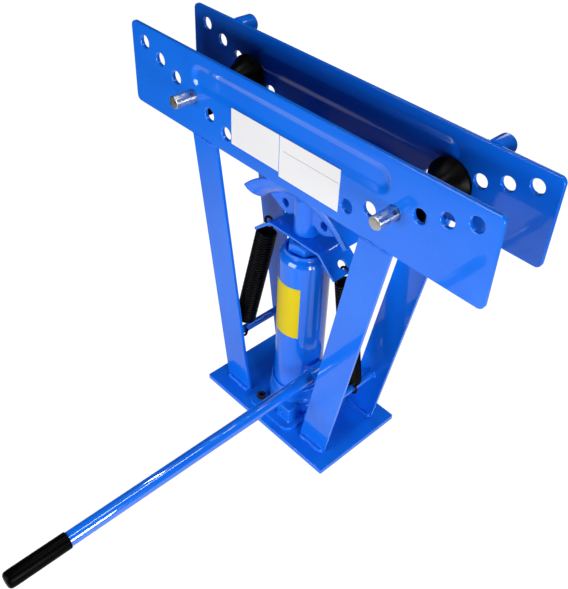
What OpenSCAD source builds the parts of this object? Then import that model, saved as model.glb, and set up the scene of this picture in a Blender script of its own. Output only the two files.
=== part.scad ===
// Hydraulic pipe bender: a frame of two side plates on four legs, with a bottle jack that pushes a
// bending die up between two rollers. Millimetres, +Z up, origin at the centre of the base's underside.
// The jack lever points to -Y, which is the front.

/* [Side plates] */
// Length of each side plate
plate_len = 600; // [500:5:720]
// Height of each side plate
plate_h = 116; // [112:1:140]
// Thickness of each side plate
plate_t = 6; // [5:0.5:8]
// Clear gap between the two side plates
plate_gap = 99; // [96:1:120]
// Clear height from the die's lips up to the side plates' lower edge
plate_clear = 9; // [5:1:30]
// Radius of the side plates' corners
plate_corner_r = 8; // [4:1:15]

/* [Pin holes] */
// Distance of the innermost pin hole from the centre
hole_first_x = 105; // [105:1:110]
// Distance of the outermost pin hole from the plate's end
hole_end = 28; // [20:1:40]
// Distance of the innermost pin hole below the plate's top edge
hole_first_drop = 88; // [84:1:94]
// Rise of each next pin hole
hole_step_z = 13.1; // [11:0.1:14]
// Number of pin holes at each end
hole_count = 6; // [5:1:6]
// Diameter of the pin holes
hole_d = 18; // [15:0.1:21.6]
// Pin hole that holds the roller, counted from the innermost
roller_hole = 3; // [2:1:4]

/* [Pressed recess] */
// Length of the recess pressed into each side plate
recess_len = 330; // [200:5:380]
// Height of the recess
recess_h = 30; // [20:1:34]
// Depth of the recess
recess_depth = 3.5; // [2:0.5:4]
// Distance of the recess below the plate's top edge
recess_drop = 16; // [14:1:20]
// How far the recess lies off the plate's middle, to the left as its outer face is seen
recess_shift = 5; // [0:1:10]

/* [Base and legs] */
// Length of the base plate
base_len = 254; // [240:1:300]
// Width of the base plate
base_w = 158; // [150:1:200]
// Thickness of the base plate
base_t = 8; // [6:0.5:12]
// Width of the flat bar of the legs
leg_w = 48; // [40:1:55]
// Thickness of the flat bar of the legs
leg_t = 5; // [4:0.5:6]
// Step from the side plate's outer face back to the leg's outer face
leg_setback = 1.5; // [0:0.5:2]
// Distance of a leg's middle from the centre at the base
leg_foot_x = 82; // [80:1:90]
// Distance of a leg's middle from the centre at the side plate
leg_head_x = 152; // [140:1:160]
// Diameter of the rods that hold the springs
rod_d = 12; // [10:0.5:13]
// Height of the spring rods above the floor
rod_z = 98; // [90:1:120]

/* [Rear pegs] */
// Diameter of the pegs behind the back plate
peg_d = 25; // [18:1:28]
// Length of the pegs
peg_len = 26; // [15:1:40]
// Distance of the pegs from the centre
peg_x = 211; // [190:1:240]
// Distance of the pegs' middle below the plate's top edge
peg_drop = 9; // [8:1:20]

/* [Rollers and pins] */
// Largest diameter of a roller
roller_d = 60; // [50:1:64]
// Smallest diameter in a roller's groove
roller_waist_d = 34; // [30:1:44]
// Play between a roller's end and the side plate's recess
roller_side_play = 3; // [1:0.5:5]
// Width of the flat rim at each end of a roller
roller_rim = 5; // [3:0.5:8]
// Play of the roller pins in the pin holes, on the diameter
pin_play = 0.8; // [0.6:0.1:1.5]
// Radial running clearance between a roller and its pin
roller_clearance = 0.08; // [0.05:0.01:0.1]
// Length of a pin in front of the front plate
pin_reach = 30.5; // [20:0.5:45]
// Diameter of a pin's head behind the back plate
pin_head_d = 26; // [24:1:30]
// Thickness of a pin's head
pin_head_t = 7; // [4:0.5:12]
// Diameter of the cross hole for a retaining clip
pin_clip_hole_d = 5.5; // [4:0.5:6]

/* [Jack body] */
// Distance of the jack's axis in front of the frame's middle plane
jack_offset = 6; // [0:0.5:8]
// Outer diameter of the reservoir
reservoir_d = 72; // [68:0.2:86.4]
// Wall of the reservoir
reservoir_wall = 2.5; // [2:0.5:4]
// Stroke of the ram, which sets the reservoir's length
ram_stroke = 220; // [183:1:264]
// Height of the jack base's round body above the base plate
jack_body_h = 34; // [32:1:38]
// Height of the collar round the reservoir's foot
collar_h = 20; // [12:1:24]
// Wall of the collar
collar_wall = 3.5; // [2.5:0.5:4]
// Thickness of the jack base's flange
flange_t = 6; // [5:0.5:9]
// Wall of the pressure tube
pressure_wall = 5; // [4:0.5:6]
// Diameter of the ram
ram_d = 32; // [26.6:0.1:38.4]
// Step from the ram to its piston, on the radius
piston_step = 3; // [2.5:0.5:4]
// Height of the top nut
nut_h = 19; // [12:1:20]

/* [Yoke and springs] */
// Clear height from the top nut up to the yoke
yoke_clear = 8; // [3:1:20]
// Width of the yoke's flat bar
yoke_w = 50; // [40:1:54]
// Thickness of the yoke
yoke_t = 4; // [3.5:0.5:5]
// Distance of the yoke's bends from its middle
yoke_bend_x = 46.5; // [42:0.5:48]
// Length of each wing beyond its bend
wing_len = 40.5; // [38:0.5:45]
// Angle of the wings below the horizontal
wing_angle = 40; // [25:0.5:42]
// Diameter of the spring holes in the wings
spring_hole_d = 13; // [12:0.5:14]
// Width of the bar between a spring hole and the wing's end
wing_end_bar = 8; // [6:0.5:9]
// Outer diameter of the springs
spring_d = 31; // [26:0.5:33]
// Wire diameter of the springs
wire_d = 3.8; // [3:0.1:4.2]
// Clear gap between the curls of the springs
curl_gap = 0.6; // [0.5:0.1:2]
// Place of the left spring's hook along its rod
spring_foot_left_y = -34; // [-34:1:24]
// Place of the right spring's hook along its rod
spring_foot_right_y = 5; // [-34:1:24]

/* [Bending die] */
// Radius of the groove, that of the pipe it bends
die_groove_r = 24.4; // [20:0.2:25]
// Wall of the groove
die_wall = 3.8; // [3:0.2:5]
// Bending radius, to the pipe's middle
die_bend_r = 131; // [125:1:136]
// Angle of the die's arc
die_arc = 94; // [80:1:100]
// Height from the yoke to the middle of the pipe above it
die_rise = 78; // [76:1:90]
// Thickness of the die's web
die_web_t = 15; // [10:1:18]
// Height of the web left below each cored hole
die_web_rim = 9.2; // [6:0.2:10]
// Wall of the boss that fits the ram's nose
die_boss_wall = 6.5; // [5:0.5:9]
// Diameter of the cored holes in the web
die_core_d = 12; // [8:1:13]

/* [Pump and lever] */
// Outer diameter of the pump barrel
barrel_d = 20; // [18:0.5:24]
// Diameter of the plunger
plunger_d = 10; // [8:0.5:12]
// Height of the lever's fulcrum above the base plate
fulcrum_h = 78; // [76:1:84]
// Distance from the fulcrum to the plunger's pin
lever_arm = 24; // [22:0.5:26]
// Angle that the lever swings up
lever_swing = 45; // [30:1:50]
// Diameter of the lever's two pins
lever_pin_d = 8; // [6:0.5:9]
// Outer diameter of the handle tube
handle_d = 19; // [15.8:0.1:22.8]
// Wall of the lever's socket
socket_wall = 1.8; // [1.2:0.1:3]
// Gap between the handle and its socket, at each side
handle_play = 0.8; // [0.3:0.1:0.9]
// Wall of the handle tube
handle_wall = 1.8; // [1.2:0.1:2.5]
// Distance of the grip's end in front of the jack's axis
handle_reach = 497; // [400:1:600]
// Length of the grip
grip_len = 78; // [60:1:120]
// Wall of the grip
grip_wall = 1.2; // [1:0.1:3]

/* [Labels] */
// Height of the left label on the front plate
plate_label_left_h = 50; // [30:1:56]
// Height of the right label on the front plate
plate_label_right_h = 56; // [30:1:56]
// Length of the left label
plate_label_left_w = 87; // [40:1:87]
// Length of the right label
plate_label_right_w = 99; // [40:1:99]
// Height of the label on the reservoir
jack_label_h = 89; // [50:1:110]
// Distance of the label below the reservoir's rim
jack_label_drop = 32; // [10:1:100]
// Angle of the label on the reservoir
jack_label_angle = 100; // [60:1:140]
// Thickness of the labels
label_t = 0.25; // [0.2:0.05:0.5]

/* [Fits] */
// Gap between parts that slide or turn with play
loose = 0.3; // [0.2:0.05:0.4]
// Radial running clearance of shafts in bores
running = 0.05; // [0.02:0.01:0.1]

/* [Hidden] */
$fn = 64;

BLUE = [0.10, 0.36, 0.90];
BLACK = [0.06, 0.06, 0.07];
STEEL = [0.72, 0.72, 0.70];
YELLOW = [0.98, 0.88, 0.08];
WHITE = [0.95, 0.95, 0.95];

// Jack, upwards from the base plate
jack_y = -jack_offset;
body_top_z = base_t + jack_body_h;
flange_z = base_t + flange_t;
collar_r = reservoir_d / 2 + collar_wall;
body_r = collar_r + 2.5;
piston_d = ram_d + 2 * piston_step;
pressure_tube_d = piston_d + 2 * pressure_wall;
tube_seat_z = body_top_z - 8;
nut_flats = ram_d + 12;
nut_corner_d = nut_flats / cos(30);
ring_in_r = nut_corner_d / 2 + 0.6;
ring_out_r = ring_in_r + 3.5;
wiper_h = 4.5;
wiper_d = ram_d + 5;
piston_h = 14;
seal_h = 5.8;
seal_core_d = piston_d - 6;
end_play = 2;
ram_foot_z = tube_seat_z + end_play;
spigot_h = 25;
cap_top_z = ram_foot_z + piston_h + ram_stroke + end_play + spigot_h;
reservoir_top_z = cap_top_z - 11;
ring_top_z = cap_top_z + 6;
yoke_under_z = cap_top_z + nut_h + yoke_clear;
yoke_z = yoke_under_z + yoke_t;
nose_d = 0.75 * ram_d;
nose_h = 24;

// Faces and lines of the frame
plate_z = yoke_z + die_rise + plate_clear;
plate_in_y = plate_gap / 2;
plate_out_y = plate_in_y + plate_t;
plate_top_z = plate_z + plate_h;
leg_out_y = plate_out_y - leg_setback;
leg_in_y = leg_out_y - leg_t;
leg_lean = (leg_head_x - leg_foot_x) / (plate_z - base_t);
leg_half_x = leg_w / 2 / cos(atan(leg_lean));
rod_x = leg_foot_x + leg_lean * (rod_z - base_t);
recess_z = plate_top_z - recess_drop - recess_h / 2;
recess_wall = 3;
hole_step_x = (plate_len / 2 - hole_end - hole_first_x) / (hole_count - 1);
roller_x = hole_first_x + (roller_hole - 1) * hole_step_x;
roller_z = plate_top_z - hole_first_drop + (roller_hole - 1) * hole_step_z;
roller_len = plate_gap - 2 * recess_depth - 2 * roller_side_play;
pin_d = hole_d - pin_play;

// Jack base, measured from the jack's axis
screw_r = body_r + 10;
screw_x = 0.6 * screw_r;
screw_y = 0.8 * screw_r;
screw_spots = [[-screw_x, -screw_y - 4], [-screw_x, screw_y], [screw_x, screw_y]];
screw_d = 8;
screw_head_d = 13;
screw_head_h = 7;
flange_half_x = screw_x + 14;
flange_front_y = -screw_y - 22;
flange_back_y = screw_y + 10;
flange_corner_r = 12;
block_w = 26;
block_x = 22;
block_front_y = -body_r - 8;
block_top_z = body_top_z - 2.5;
overload_d = 7;
overload_z = block_top_z - 13.5;
passage_d = 5;
passage_x = block_x + 9;
passage_y = block_front_y + 15;
filler_z = reservoir_top_z - 30;
filler_d = 10;
ball_d = 6;
ball_well_d = 7;
ball_floor_z = base_t + 4;

// Pump and lever. The lever's socket passes beside the reservoir, above the collar
socket_bore_d = handle_d + 2 * handle_play;
socket_d = socket_bore_d + 2 * socket_wall;
pump_x = max(collar_r + barrel_d / 2 + 0.5, reservoir_d / 2 + socket_d / 2 + 1.2);
pump_y = jack_y + 2;
boss_r = 15;
boss_front_y = pump_y - 20;
barrel_foot_z = base_t + 12;
barrel_top_z = base_t + 52;
gland_h = 5;
plunger_foot_z = barrel_foot_z + 6;
release_d = 9;
release_z = base_t + 14;
fulcrum_y = pump_y + lever_arm * cos(lever_swing / 2);
fulcrum_z = base_t + fulcrum_h;
plunger_pin_z = fulcrum_z - lever_arm * sin(lever_swing / 2);
lever_z = fulcrum_z + 23;
lug_t = 11.2;
lug_r = 7.5;
ear_r = 8;
ear_t = 3.5;
ear_gap = lug_t + 1.2;
slot_run = lever_arm * (1 - cos(lever_swing / 2));
slot_play = 0.2;
socket_front_y = pump_y - 30;
socket_back_y = pump_y + 29;
socket_end_t = 3;
handle_front_y = jack_y - handle_reach;
handle_back_y = socket_back_y - socket_end_t - loose;
grip_end_t = 3;
grip_d = handle_d + 2 * grip_wall + 2 * running;

// Yoke wings and the springs' ends
wing_hole_s = wing_len - wing_end_bar - spring_hole_d / 2;
hook_s = wing_len - wing_end_bar / 2;
hook_top_x = yoke_bend_x + hook_s * cos(wing_angle) - yoke_t / 2 * sin(wing_angle);
hook_top_z = yoke_z - hook_s * sin(wing_angle) - yoke_t / 2 * cos(wing_angle);
hook_slack = 1.5;
hook_turn = 215;
hook_tail = 8;
foot_ring_r = rod_d / 2 + loose + hook_slack + wire_d / 2;
head_ring_r = norm([wing_end_bar / 2, yoke_t / 2]) + loose + hook_slack + wire_d / 2;
coil_r = (spring_d - wire_d) / 2;
coil_start_left = 25;
coil_start_right = 15;
coil_end_gap = 15;
curl_rings = 8;
wire_sides = 6;

// Die
die_outer_r = die_groove_r + die_wall;
die_centre_z = yoke_z + die_rise - die_bend_r;
die_seat_z = yoke_z + loose;
die_boss_d = nose_d + 2 * die_boss_wall;
die_boss_h = die_rise - die_groove_r;
die_core_x = 35.6;
die_core_z = yoke_z + 29;
die_y = jack_y;

// Labels on the front plate
plate_label_seam = 1;
plate_label_x = -(plate_label_left_w + plate_label_seam + plate_label_right_w + 1) / 2;
plate_label_seam_x = plate_label_x + plate_label_left_w + plate_label_seam;
plate_label_left = [plate_label_left_w, plate_label_left_h];
plate_label_right = [plate_label_right_w, plate_label_right_h];

// A rectangle with round corners, centred
module round_rect(w, h, r) {
  square([w - 2 * r, h], center = true);
  square([w, h - 2 * r], center = true);
  for (sx = [-1, 1], sy = [-1, 1])
    translate([sx * (w / 2 - r), sy * (h / 2 - r)]) circle(r = r);
}

// A long hole or recess with round ends, centred
module obround(len, h) {
  square([len - h, h], center = true);
  for (s = [-1, 1]) translate([s * (len - h) / 2, 0]) circle(d = h);
}

// Stands a drawing in the XZ plane up, from y to y + t
module upright(y, t) {
  translate([0, y + t, 0]) rotate([90, 0, 0]) linear_extrude(t) children();
}

// A cylinder along Y, from y0 to y1
module bar_y(x, z, d, y0, y1) {
  translate([x, y1, z]) rotate([90, 0, 0]) cylinder(d = d, h = y1 - y0);
}

// A cylinder along X, centred on x
module bar_x(x, y, z, d, len) {
  translate([x - len / 2, y, z]) rotate([0, 90, 0]) cylinder(d = d, h = len);
}

// A ring about Z, standing on z
module ring(z, h, outer_d, inner_d) {
  translate([0, 0, z]) difference() {
    cylinder(d = outer_d, h = h);
    translate([0, 0, -1]) cylinder(d = inner_d, h = h + 2);
  }
}

// Moves what is drawn about the Z axis to the jack's axis
module at_jack() {
  translate([0, jack_y, 0]) children();
}

// Mirrors a right-hand part to the left
module on_side(sx) {
  mirror([sx < 0 ? 1 : 0, 0, 0]) children();
}

module base_plate() {
  color(BLUE) difference() {
    linear_extrude(base_t) round_rect(base_len, base_w, 2);
    at_jack() for (p = screw_spots)
      translate([p[0], p[1], -1]) cylinder(d = screw_d + 2 * running, h = base_t + 2);
  }
}

module leg(sx, sy) {
  color(BLUE) on_side(sx) mirror([0, sy < 0 ? 1 : 0, 0])
    upright(leg_in_y, leg_t)
      polygon([[leg_foot_x - leg_half_x, base_t], [leg_foot_x + leg_half_x, base_t],
        [leg_head_x + leg_half_x, plate_z], [leg_head_x - leg_half_x, plate_z]]);
}

// One side plate with its recess pressed inward; side is -1 for the front and 1 for the back
module side_plate(side) {
  middle_x = side * recess_shift;
  color(BLUE) mirror([0, side < 0 ? 1 : 0, 0]) difference() {
    union() {
      upright(plate_in_y, plate_t)
        translate([0, plate_z + plate_h / 2]) round_rect(plate_len, plate_h, plate_corner_r);
      upright(plate_in_y - recess_depth, recess_depth + 1)
        translate([middle_x, recess_z]) obround(recess_len + 2 * recess_wall, recess_h + 2 * recess_wall);
    }
    upright(plate_out_y - recess_depth, recess_depth + 1)
      translate([middle_x, recess_z]) obround(recess_len, recess_h);
    for (s = [-1, 1], i = [0 : hole_count - 1])
      bar_y(s * (hole_first_x + i * hole_step_x), plate_top_z - hole_first_drop + i * hole_step_z,
        hole_d, plate_in_y - 10, plate_out_y + 10);
  }
}

module spring_rod(sx) {
  color(BLUE) bar_y(sx * rod_x, rod_z, rod_d, -leg_in_y, leg_in_y);
}

module rear_peg(sx) {
  color(BLUE) bar_y(sx * peg_x, plate_top_z - peg_drop, peg_d, plate_out_y, plate_out_y + peg_len);
}

// The casting's solid: flange, body with its collar, valve block, pump boss and fulcrum lug
module jack_base_solid() {
  boss_len = fulcrum_y + lug_r - boss_front_y;
  at_jack() {
    translate([0, (flange_front_y + flange_back_y) / 2, base_t]) linear_extrude(flange_t)
      round_rect(2 * flange_half_x, flange_back_y - flange_front_y, flange_corner_r);
    translate([0, 0, base_t]) cylinder(r = body_r, h = jack_body_h);
    translate([0, 0, base_t]) cylinder(r = collar_r, h = jack_body_h + collar_h);
    translate([block_x - block_w / 2, block_front_y, base_t])
      cube([block_w, block_w, block_top_z - base_t]);
  }
  translate([pump_x - boss_r, boss_front_y, base_t]) cube([2 * boss_r, boss_len, flange_t]);
  translate([pump_x, pump_y, base_t]) cylinder(r = boss_r, h = jack_body_h - 6);
  translate([pump_x - boss_r, boss_front_y, base_t])
    cube([2 * boss_r, pump_y - boss_front_y, jack_body_h - 12]);
  translate([pump_x - lug_t / 2, fulcrum_y - lug_r, base_t]) cube([lug_t, 2 * lug_r, fulcrum_h]);
  bar_x(pump_x, fulcrum_y, fulcrum_z, 2 * lug_r, lug_t);
}

module jack_base() {
  color(BLUE) difference() {
    jack_base_solid();
    // Seats of the reservoir, the pressure tube and the pump barrel
    at_jack() {
      translate([0, 0, body_top_z]) cylinder(d = reservoir_d + 2 * running, h = collar_h + 1);
      translate([0, 0, tube_seat_z]) cylinder(d = pressure_tube_d + 2 * running, h = 20);
    }
    translate([pump_x, pump_y, barrel_foot_z]) cylinder(d = barrel_d + 2 * running, h = 80);
    // Ball wells and the passage between them
    translate([pump_x, pump_y, ball_floor_z]) cylinder(d = ball_well_d, h = 20);
    translate([0, jack_y, ball_floor_z]) cylinder(d = ball_well_d, h = 40);
    bar_x(pump_x / 2, jack_y, ball_floor_z + ball_d / 2, 3, pump_x);
    // Fulcrum pin, release valve, overload screw, passage plug and fixing screws
    bar_x(pump_x, fulcrum_y, fulcrum_z, lever_pin_d + 2 * running, 40);
    bar_y(pump_x, release_z, release_d + 2 * running, boss_front_y - 1, boss_front_y + 8);
    at_jack() {
      bar_y(block_x, overload_z, overload_d + 2 * running, block_front_y - 1, block_front_y + 11);
      translate([passage_x, passage_y, block_top_z - 8]) cylinder(d = passage_d + 2 * running, h = 10);
      for (p = screw_spots)
        translate([p[0], p[1], 0]) cylinder(d = screw_d + 2 * running, h = flange_z + 1);
    }
  }
}

module jack_screws() {
  color(BLACK) at_jack() for (p = screw_spots) translate([p[0], p[1], 0]) difference() {
    union() {
      translate([0, 0, 1]) cylinder(d = screw_d, h = flange_z);
      translate([0, 0, flange_z]) cylinder(d = screw_head_d, h = screw_head_h);
    }
    translate([0, 0, flange_z + screw_head_h - 4]) cylinder(d = 6.9, h = 5, $fn = 6);
  }
}

module reservoir_tube() {
  color(BLUE) at_jack() difference() {
    ring(body_top_z, reservoir_top_z - body_top_z, reservoir_d, reservoir_d - 2 * reservoir_wall);
    bar_y(0, filler_z, filler_d, reservoir_d / 2 - 8, reservoir_d);
  }
}

module reservoir_cap() {
  rim_r = reservoir_d / 2;
  tube_r = pressure_tube_d / 2 + running;
  color(BLUE) at_jack() rotate_extrude() polygon([
    [tube_r, reservoir_top_z], [rim_r, reservoir_top_z], [rim_r - 0.8, reservoir_top_z + 3],
    [rim_r - 2.5, reservoir_top_z + 7.5], [rim_r - 5, cap_top_z], [ring_out_r, cap_top_z + 1],
    [ring_out_r, ring_top_z - 1], [ring_out_r - 1, ring_top_z],
    [ring_in_r + 1, ring_top_z], [ring_in_r, ring_top_z - 1], [ring_in_r, cap_top_z],
    [tube_r, cap_top_z]]);
}

module pressure_tube() {
  color(STEEL) at_jack()
    ring(tube_seat_z, cap_top_z - tube_seat_z, pressure_tube_d, piston_d + 2 * running);
}

module top_nut() {
  nut_top_z = cap_top_z + nut_h;
  color(BLUE) at_jack() difference() {
    union() {
      translate([0, 0, cap_top_z]) rotate([0, 0, 10]) cylinder(d = nut_corner_d, h = nut_h, $fn = 6);
      translate([0, 0, cap_top_z - spigot_h]) cylinder(d = piston_d, h = spigot_h);
    }
    translate([0, 0, cap_top_z - spigot_h - 1])
      cylinder(d = ram_d + 2 * running, h = spigot_h + nut_h + 2);
    translate([0, 0, nut_top_z - wiper_h]) cylinder(d = wiper_d, h = wiper_h + 1);
  }
}

module wiper_ring() {
  color(BLACK) at_jack()
    ring(cap_top_z + nut_h - wiper_h, wiper_h, wiper_d - 2 * running, ram_d + 2 * running);
}

module filler_plug() {
  head_y = jack_y + reservoir_d / 2;
  color(BLACK) {
    bar_y(0, filler_z, filler_d - 2 * running, head_y - 8, head_y);
    bar_y(0, filler_z, filler_d + 5, head_y, head_y + 3);
  }
}

module overload_screw() {
  color(BLUE) at_jack() difference() {
    union() {
      bar_y(block_x, overload_z, overload_d, block_front_y, block_front_y + 10);
      bar_y(block_x, overload_z, overload_d + 3, block_front_y - 2, block_front_y);
    }
    translate([block_x, block_front_y + 3, overload_z]) rotate([90, 0, 0])
      cylinder(d = 4.6, h = 6, $fn = 6);
  }
}

module passage_plug() {
  color(BLUE) at_jack() translate([passage_x, passage_y, block_top_z]) {
    translate([0, 0, -6]) cylinder(d = passage_d, h = 6);
    cylinder(d = passage_d + 2, h = 1.6);
  }
}

module valve_balls() {
  color(STEEL) for (p = [[pump_x, pump_y], [0, jack_y]])
    translate([p[0], p[1], ball_floor_z + ball_d / 2 + running]) sphere(d = ball_d);
}

module pump_barrel() {
  color(STEEL) translate([pump_x, pump_y, 0])
    ring(barrel_foot_z, barrel_top_z - barrel_foot_z, barrel_d, plunger_d + 2 * running);
}

module pump_gland() {
  color(BLUE) translate([pump_x, pump_y, barrel_top_z]) difference() {
    cylinder(d = barrel_d - 2, h = gland_h, $fn = 6);
    translate([0, 0, -1]) cylinder(d = plunger_d + 2 * running, h = gland_h + 2);
  }
}

// A pin of the lever with a low head at each end
module lever_pin(y, z) {
  reach = ear_gap / 2 + ear_t + 0.6;
  head_t = 1.6;
  color(STEEL) {
    bar_x(pump_x, y, z, lever_pin_d, 2 * reach);
    for (s = [-1, 1]) bar_x(pump_x + s * (reach + head_t / 2), y, z, lever_pin_d + 3, head_t);
  }
}

module pump_plunger() {
  color(STEEL) difference() {
    union() {
      translate([pump_x, pump_y, plunger_foot_z])
        cylinder(d = plunger_d, h = plunger_pin_z - plunger_foot_z);
      intersection() {
        bar_x(pump_x, pump_y, plunger_pin_z, 2 * lug_r, lug_t);
        translate([pump_x, pump_y, plunger_pin_z - lug_r]) cylinder(r = lug_r, h = 2 * lug_r);
      }
    }
    bar_x(pump_x, pump_y, plunger_pin_z, lever_pin_d + 2 * running, 40);
  }
}

module release_valve() {
  stem_y = boss_front_y - 8;
  color(BLUE) {
    bar_y(pump_x, release_z, release_d, stem_y, boss_front_y + 7);
    translate([pump_x - 2.5, stem_y - 4, release_z - 7]) cube([5, 4, 14]);
  }
}

module ram() {
  color(STEEL) at_jack() difference() {
    union() {
      translate([0, 0, ram_foot_z]) cylinder(d = piston_d, h = piston_h);
      translate([0, 0, ram_foot_z]) cylinder(d = ram_d, h = yoke_under_z - ram_foot_z);
      translate([0, 0, yoke_under_z]) cylinder(d = nose_d, h = yoke_t + nose_h);
    }
    ring(ram_foot_z + 4, seal_h + 2 * running, piston_d + 2, seal_core_d);
  }
}

module piston_seal() {
  color(BLACK) at_jack()
    ring(ram_foot_z + 4 + running, seal_h, piston_d, seal_core_d + 2 * running);
}

// The yoke seen from the front: the flat with a wing bent down at each end
module yoke_outline() {
  c = cos(wing_angle);
  s = sin(wing_angle);
  tip = [yoke_bend_x + wing_len * c, yoke_z - wing_len * s];
  // The last corner is the inner corner of the bend, where both lower faces meet
  right = [[yoke_bend_x, yoke_z], tip, tip - yoke_t * [s, c],
    [yoke_bend_x - yoke_t * tan(wing_angle / 2), yoke_under_z]];
  polygon(concat(right, [for (i = [3 : -1 : 0]) [-right[i][0], right[i][1]]]));
}

module yoke() {
  color(BLUE) difference() {
    upright(jack_y - yoke_w / 2, yoke_w) yoke_outline();
    translate([0, jack_y, yoke_under_z - 1]) cylinder(d = nose_d + 2 * running, h = yoke_t + 2);
    for (sx = [-1, 1]) on_side(sx)
      translate([yoke_bend_x, jack_y, yoke_z]) rotate([0, wing_angle, 0])
        translate([wing_hole_s, 0, -20]) cylinder(d = spring_hole_d, h = 40);
  }
}

// The spring's centre line runs in its own axes: u outward, v sideways, w from the rod to the yoke.
// A hook rings the rod, the wire climbs to the coil, and a smaller hook rings the bar of the wing.
function ring_point(r, a, w) = [r * cos(a), 0, w + r * sin(a)];
function bezier(p, q, r, s, t) =
  pow(1 - t, 3) * p + 3 * pow(1 - t, 2) * t * q + 3 * (1 - t) * t * t * r + t * t * t * s;
function spring_line(len, coil_start) =
  let (
    coil_end = len - coil_end_gap,
    curls = floor((coil_end - coil_start) / (wire_d + curl_gap)),
    pitch = (coil_end - coil_start) / curls,
    foot = [foot_ring_r, 0, 0],
    head = [head_ring_r, 0, len],
    low = [coil_r, 0, coil_start],
    high = [coil_r, 0, coil_end],
    head_tail = ring_point(head_ring_r, hook_turn, len),
    away = wire_d * [-sin(hook_turn), 0, cos(hook_turn)])
  concat(
    [[-foot_ring_r, 0, hook_tail]],
    [for (i = [0 : 7]) ring_point(foot_ring_r, 180 * (i / 8 - 1), 0)],
    [for (i = [0 : 3]) bezier(foot, foot + [0, 0, 9], low + [0, -9, -pitch / 10], low, i / 4)],
    [for (i = [0 : curls * curl_rings])
      let (a = i * 360 / curl_rings)
      [coil_r * cos(a), coil_r * sin(a), coil_start + pitch * i / curl_rings]],
    [for (i = [1 : 3]) bezier(high, high + [0, 8, pitch * 0.4], head + [0, 5, -9], head, i / 4)],
    [for (i = [0 : 8]) ring_point(head_ring_r, hook_turn * i / 8, len)],
    [head_tail + away]);

function unit(v) = v / norm(v);
function direction(line, i) = unit(line[min(i + 1, len(line) - 1)] - line[max(i - 1, 0)]);

// Normals carried along the line, each turned no more than the line turns
function carried(line, i, normals) =
  i >= len(line) ? normals :
  let (t = direction(line, i), n = normals[i - 1] - (normals[i - 1] * t) * t)
  carried(line, i + 1, concat(normals, [unit(n)]));

// Least gap of the wire to itself, between points that are at least half a curl apart
function least_gap(line) =
  min([for (i = [0 : len(line) - 1], j = [i + curl_rings / 2 : i + 2 * curl_rings])
    if (j < len(line)) norm(line[j] - line[i])]) - wire_d;

// A tube with flat sides round a line of points
module tube(line, d) {
  start = unit(cross(direction(line, 0), [0, 1, 0]));
  normals = carried(line, 1, [start]);
  points = [for (i = [0 : len(line) - 1])
    let (b = cross(direction(line, i), normals[i]))
    for (k = [0 : wire_sides - 1])
      let (a = k * 360 / wire_sides)
      line[i] + d / 2 * (cos(a) * normals[i] + sin(a) * b)];
  last = (len(line) - 1) * wire_sides;
  walls = [for (i = [0 : len(line) - 2], k = [0 : wire_sides - 1])
    let (a = i * wire_sides + k, b = i * wire_sides + (k + 1) % wire_sides)
    each [[a, a + wire_sides, b], [b, a + wire_sides, b + wire_sides]]];
  ends = [for (k = [1 : wire_sides - 2]) each [[0, k, k + 1], [last, last + k + 1, last + k]]];
  polyhedron(points = points, faces = concat(walls, ends), convexity = 10);
}

module spring(sx, foot_y, coil_start) {
  rod = [rod_x, foot_y, rod_z];
  bar = [hook_top_x, jack_y, hook_top_z];
  w = unit(bar - rod);
  // Both rings are pulled towards the coil, so each lies close to what it hooks on one side
  foot = rod + hook_slack * w;
  head = bar - hook_slack * w;
  u = unit([1, 0, 0] - w[0] * w);
  v = cross(w, u);
  line = [for (p = spring_line(norm(head - foot), coil_start)) foot + p[0] * u + p[1] * v + p[2] * w];
  echo("least gap of a spring's wire to itself, mm", least_gap(line));
  color(BLACK) on_side(sx) tube(line, wire_d);
}

// The groove's channel, half round and open outward, as an arc about the die's centre
module die_channel() {
  r = die_outer_r;
  translate([0, die_y, die_centre_z]) rotate([90, 0, 0]) rotate([0, 0, 90 - die_arc / 2])
    rotate_extrude(angle = die_arc, $fn = 128) intersection() {
      translate([die_bend_r, 0]) circle(r = r);
      translate([die_bend_r - r - 1, -r - 1]) square([r + 1, 2 * r + 2]);
    }
}

// The web below the channel. Its lower edge dips to leave a rim below each cored hole
module die_web() {
  web_r = die_bend_r - die_outer_r + 4;
  rim_z = die_core_z - die_core_d / 2 - die_web_rim;
  boss_edge_z = rim_z + 6.5;
  end_x = web_r * sin(die_arc / 2) - 5;
  right = [[0, boss_edge_z], [die_boss_d / 2, boss_edge_z], [die_core_x - 8, rim_z],
    [die_core_x + 2.5, rim_z + 0.5], [end_x, rim_z + 19], [end_x, die_centre_z + web_r]];
  upright(die_y - die_web_t / 2, die_web_t) intersection() {
    translate([0, die_centre_z]) circle(r = web_r, $fn = 128);
    polygon(concat(right, [for (i = [5 : -1 : 1]) [-right[i][0], right[i][1]]]));
  }
}

module bending_die() {
  color(BLUE) difference() {
    union() {
      die_channel();
      die_web();
      translate([0, die_y, die_seat_z]) cylinder(d = die_boss_d, h = die_boss_h);
    }
    translate([0, die_y, die_centre_z]) rotate([90, 0, 0]) rotate_extrude($fn = 128)
      translate([die_bend_r, 0]) circle(r = die_groove_r);
    translate([0, die_y, die_seat_z - 1]) cylinder(d = nose_d + 2 * loose, h = nose_h + 2);
    for (sx = [-1, 1])
      bar_y(sx * die_core_x, die_core_z, die_core_d, die_y - die_web_t, die_y + die_web_t);
  }
}

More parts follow.
